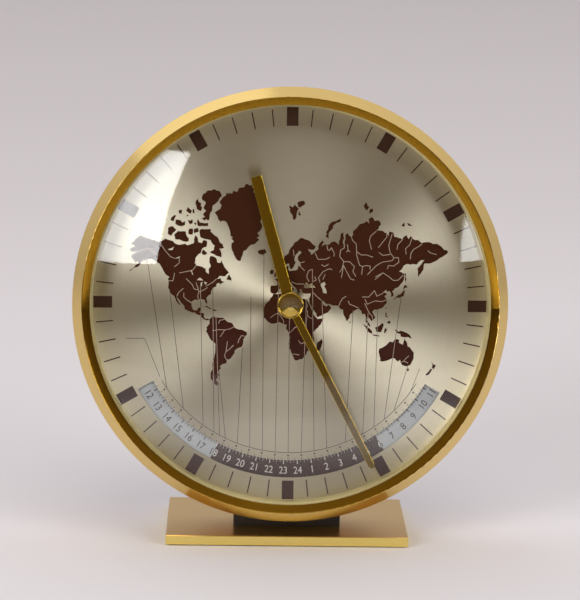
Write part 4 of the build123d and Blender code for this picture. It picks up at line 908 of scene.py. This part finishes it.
def land_shapes():
    """Each land as its coast, with lakes and inner seas as holes."""
    shapes = [[coast(north_america)] + [coast(lake) for lake in american_lakes]]
    shapes.append([coast(eurasia)] + [coast(sea) for sea in inner_seas])
    shapes += [[coast(outline)] for outline in (south_america, africa, australia, greenland, *islands)]
    return shapes


def inside(point, outline):
    """Whether a point lies in an outline: a line from it to the right crosses it an odd number of times."""
    x, y = point
    crossings = 0
    for (ax, ay), (bx, by) in zip(outline, outline[1:] + outline[:1]):
        if (ay > y) != (by > y) and x < ax + (bx - ax) * (y - ay) / (by - ay):
            crossings += 1
    return crossings % 2 == 1


def on_land(point, land):
    return any(sum(inside(point, loop) for loop in loops) == 1 for loops in land)


# Dial

def minute_marks():
    """Broad blocks at the hours and thin ticks at the minutes between them."""
    shapes = []
    for minute in range(minutes_on_dial):
        on_hour = minute * hours_on_dial % minutes_on_dial == 0
        outer = block_outer if on_hour else tick_outer
        width = block_width if on_hour else tick_width
        shapes.append([radial_bar(360 * minute / minutes_on_dial, block_inner, outer, width)])
    return shapes


def zone_scale():
    """The arc over the window, its hour dots and ticks."""
    start = 180 - arc_half_angle
    end = 180 + arc_half_angle
    shapes = [[ring_part(arc_radius, arc_radius + arc_width, start, end, arc_step)]]
    half_steps = int(2 * arc_half_angle / hour_step)
    for i in range(-half_steps, half_steps + 1):
        angle = 180 - i * hour_step / 2
        inner = half_tick_inner
        if i % 2 == 0:
            inner = zone_tick_inner
            shapes.append([disc_outline(polar(zone_dot_radius, angle), zone_dot_size, zone_dot_sides)])
        shapes.append([radial_bar(angle, inner, zone_tick_outer, fine_tick_width)])
    return shapes


def stretches_at_coast(start, end, land):
    """The stretches of a straight line, each with whether it lies on land."""
    first = Vector(start)
    way = Vector(end) - first
    count = math.ceil(way.length / coast_probe)
    middles = [first + way * (i + 0.5) / count for i in range(count)]
    done = 0
    for landed, group in itertools.groupby(on_land(middle, land) for middle in middles):
        after = done + len(list(group))
        yield landed, bar(first + way * done / count, first + way * after / count, leader_width)
        done = after


def leader_lines(land):
    """The leader lines' stretches at sea and on land."""
    shapes = {False: [], True: []}
    for zone, places in zone_lines:
        foot = polar(arc_radius, 180 - zone * hour_step)
        points = mapped(places) + [foot]
        for start, end in zip(points, points[1:]):
            for landed, stretch in stretches_at_coast(start, end, land):
                shapes[landed].append([stretch])
    return shapes


def print_dial():
    def ink_on_dial(name, shapes, material, height=ink_height):
        print_piece(name, shapes, "clock", material, dial_face, height)

    land = land_shapes()
    leaders = leader_lines(land)
    water = [part for river in rivers for part in line_parts(mapped(river), river_width)]
    ink_on_dial("minute_marks", minute_marks(), dark_ink)
    ink_on_dial("zone_scale", zone_scale(), dark_ink)
    ink_on_dial("leader_lines", leaders[False], dark_ink, map_height)
    ink_on_dial("world_map", land, map_ink)
    ink_on_dial("map_rivers", water, river_foil, river_height)
    ink_on_dial("land_leaders", leaders[True], river_foil, river_height)


# Hour disc

def hour_angle(hour):
    return 180 - midnight_offset - hour_step * (hour - hours_in_day)


def at_night(hour):
    return (hour - night_start) % hours_in_day < night_length


def night_bands():
    shapes = []
    for day in range(disc_hours // hours_in_day):
        start = night_start + day * hours_in_day
        end = start + night_length
        shapes.append([ring_part(band_inner, band_outer, hour_angle(start), hour_angle(end), band_step)])
    return shapes


def hour_ticks(night):
    """Ticks at each quarter hour of the day's or the night's half, longest at the hours."""
    outers = (hour_tick_outer, quarter_tick_outer, half_hour_tick_outer, quarter_tick_outer)
    widths = (hour_tick_width, fine_tick_width, fine_tick_width, fine_tick_width)
    quarters = len(outers)
    shapes = []
    for i in range(disc_hours * quarters):
        hour = i / quarters
        if at_night(hour) == night:
            step = i % quarters
            shapes.append([radial_bar(hour_angle(hour), hour_tick_inner, outers[step], widths[step])])
    return shapes


def numeral_mesh(text):
    """A number as a flat mesh about its own middle."""
    curve = bpy.data.curves.new("numeral", "FONT")
    curve.body = text
    curve.size = numeral_size
    curve.align_x = "CENTER"
    curve.align_y = "CENTER"
    curve.extrude = disc_ink_height
    holder = bpy.data.objects.new("numeral", curve)
    mesh = bmesh.new()
    mesh.from_mesh(bpy.data.meshes.new_from_object(holder))
    bmesh.ops.remove_doubles(mesh, verts=mesh.verts, dist=numeral_weld)
    bpy.data.objects.remove(holder)
    return mesh


def keep_side(mesh, angle, night_side):
    """Cuts a number off at a radius of the disc, where the day's half meets the night's."""
    spoke = Vector((*polar(1, angle), 0))
    across = Vector((-spoke.y, spoke.x, 0))
    everything = mesh.verts[:] + mesh.edges[:] + mesh.faces[:]
    bmesh.ops.bisect_plane(
        mesh, geom=everything, plane_co=Vector(), plane_no=across,
        clear_outer=not night_side, clear_inner=night_side)
    bmesh.ops.holes_fill(mesh, edges=[edge for edge in mesh.edges if edge.is_boundary])


def numerals(night):
    """The hours' numbers, upright at six o'clock, in the day's or the night's ink."""
    total = bmesh.new()
    night_end = (night_start + night_length) % hours_in_day
    for count in range(disc_hours):
        hour = count % hours_in_day or hours_in_day
        split = hour in (night_start, night_end)
        if not split and at_night(hour) != night:
            continue
        angle = hour_angle(count)
        mesh = numeral_mesh(str(hour))
        turn = Matrix.Rotation(math.radians(180 - angle), 4, "Z")
        place = Matrix.Translation((*polar(numeral_radius, angle), disc_face))
        shape = Matrix.Diagonal((numeral_aspect, 1, 1, 1))
        mesh.transform(place @ turn @ shape)
        if split:
            keep_side(mesh, angle, night == (hour == night_start))
        data = bpy.data.meshes.new("numeral")
        mesh.to_mesh(data)
        mesh.free()
        total.from_mesh(data)
        bpy.data.meshes.remove(data)
    return total


def print_disc():
    def ink_on_disc(name, shapes, material, height=disc_ink_height):
        print_piece(name, shapes, "world_disc", material, disc_face, height)

    ink_on_disc("night_bands", night_bands(), night_card, band_height)
    for name, night, material in (("day", False, dark_ink), ("night", True, pale_ink)):
        ink_on_disc(name + "_ticks", hour_ticks(night), material)
        make_piece(name + "_numerals", numerals(night), "world_disc", material)


# Stage, light and camera

def make_floor():
    mesh = bmesh.new()
    bmesh.ops.create_circle(mesh, cap_ends=True, segments=floor_sides, radius=floor_radius)
    floor = add_object("floor", mesh_data("floor", mesh, sweep_paper("sweep_paper")))


def light_world():
    """A plain room: grey behind the clock, pale overhead, dark and warm behind the camera."""
    world = bpy.data.worlds.new("room")
    bpy.context.scene.world = world
    world.use_nodes = True
    room = Nodes(world.node_tree)
    way = room.add("SeparateXYZ", {"Vector": room.add("TexCoord", {})["Generated"]})
    sky = room.stages(way["Z"], ((0.0, horizon_color), (1.0, zenith_color)))
    back_room = room.tree.nodes["Background"]
    room.feed(back_room, {"Color": sky})
    front_room = room.add("Background", {"Color": front_room_color})
    share = room.ranged(way["Y"], front_direction, back_direction)
    rooms = {"Fac": share, 1: front_room["Background"], 2: back_room.outputs["Background"]}
    room.feed(room.tree.nodes["World Output"], {"Surface": room.add("MixShader", rooms)["Shader"]})


def toward(turn, height):
    """A direction by its turn to the right of the camera and its height over the floor."""
    side = math.radians(turn)
    rise = math.radians(height)
    return Vector((math.sin(side) * math.cos(rise), -math.cos(side) * math.cos(rise), math.sin(rise)))


def add_softbox(name, corners, radiances):
    places = [head.translation + softbox_distance * toward(*corner) for corner in corners]
    heights = [place.z for place in places]
    data = bpy.data.meshes.new(name)
    data.from_pydata(places, [], [range(len(places))])
    data.materials.append(softbox_cloth(name + "_cloth", (min(heights), max(heights)), radiances))
    softbox = add_object(name, data)
    softbox.visible_camera = False


def add_high_light(name, turn, height, spread, strength):
    lamp = bpy.data.lights.new(name, "SUN")
    lamp.energy = strength
    lamp.angle = math.radians(spread)
    holder = add_object(name, lamp)
    holder.rotation_mode = "QUATERNION"
    holder.rotation_quaternion = toward(turn, height).to_track_quat("Z", "Y")


def add_camera():
    data = bpy.data.cameras.new("camera")
    data.sensor_fit = "HORIZONTAL"
    data.sensor_width = sensor_width
    data.lens = focal_pixels * sensor_width / image_width
    camera = add_object("camera", data)
    heading = Matrix.Rotation(math.radians(-camera_yaw), 4, "Z")
    tilt = Matrix.Rotation(math.radians(90 - camera_pitch), 4, "X")
    roll = Matrix.Rotation(math.radians(camera_roll), 4, "Z")
    camera.matrix_world = Matrix.Translation(camera_location) @ heading @ tilt @ roll
    bpy.context.scene.camera = camera


dress_frame()
print_dial()
print_disc()
make_floor()
light_world()
add_softbox("left_softbox", left_softbox, left_radiances)
add_softbox("right_softbox", right_softbox, right_radiances)
add_high_light("front_light", *front_light)
add_high_light("back_light", *back_light)
add_camera()
bpy.context.scene.view_settings.view_transform = "Standard"
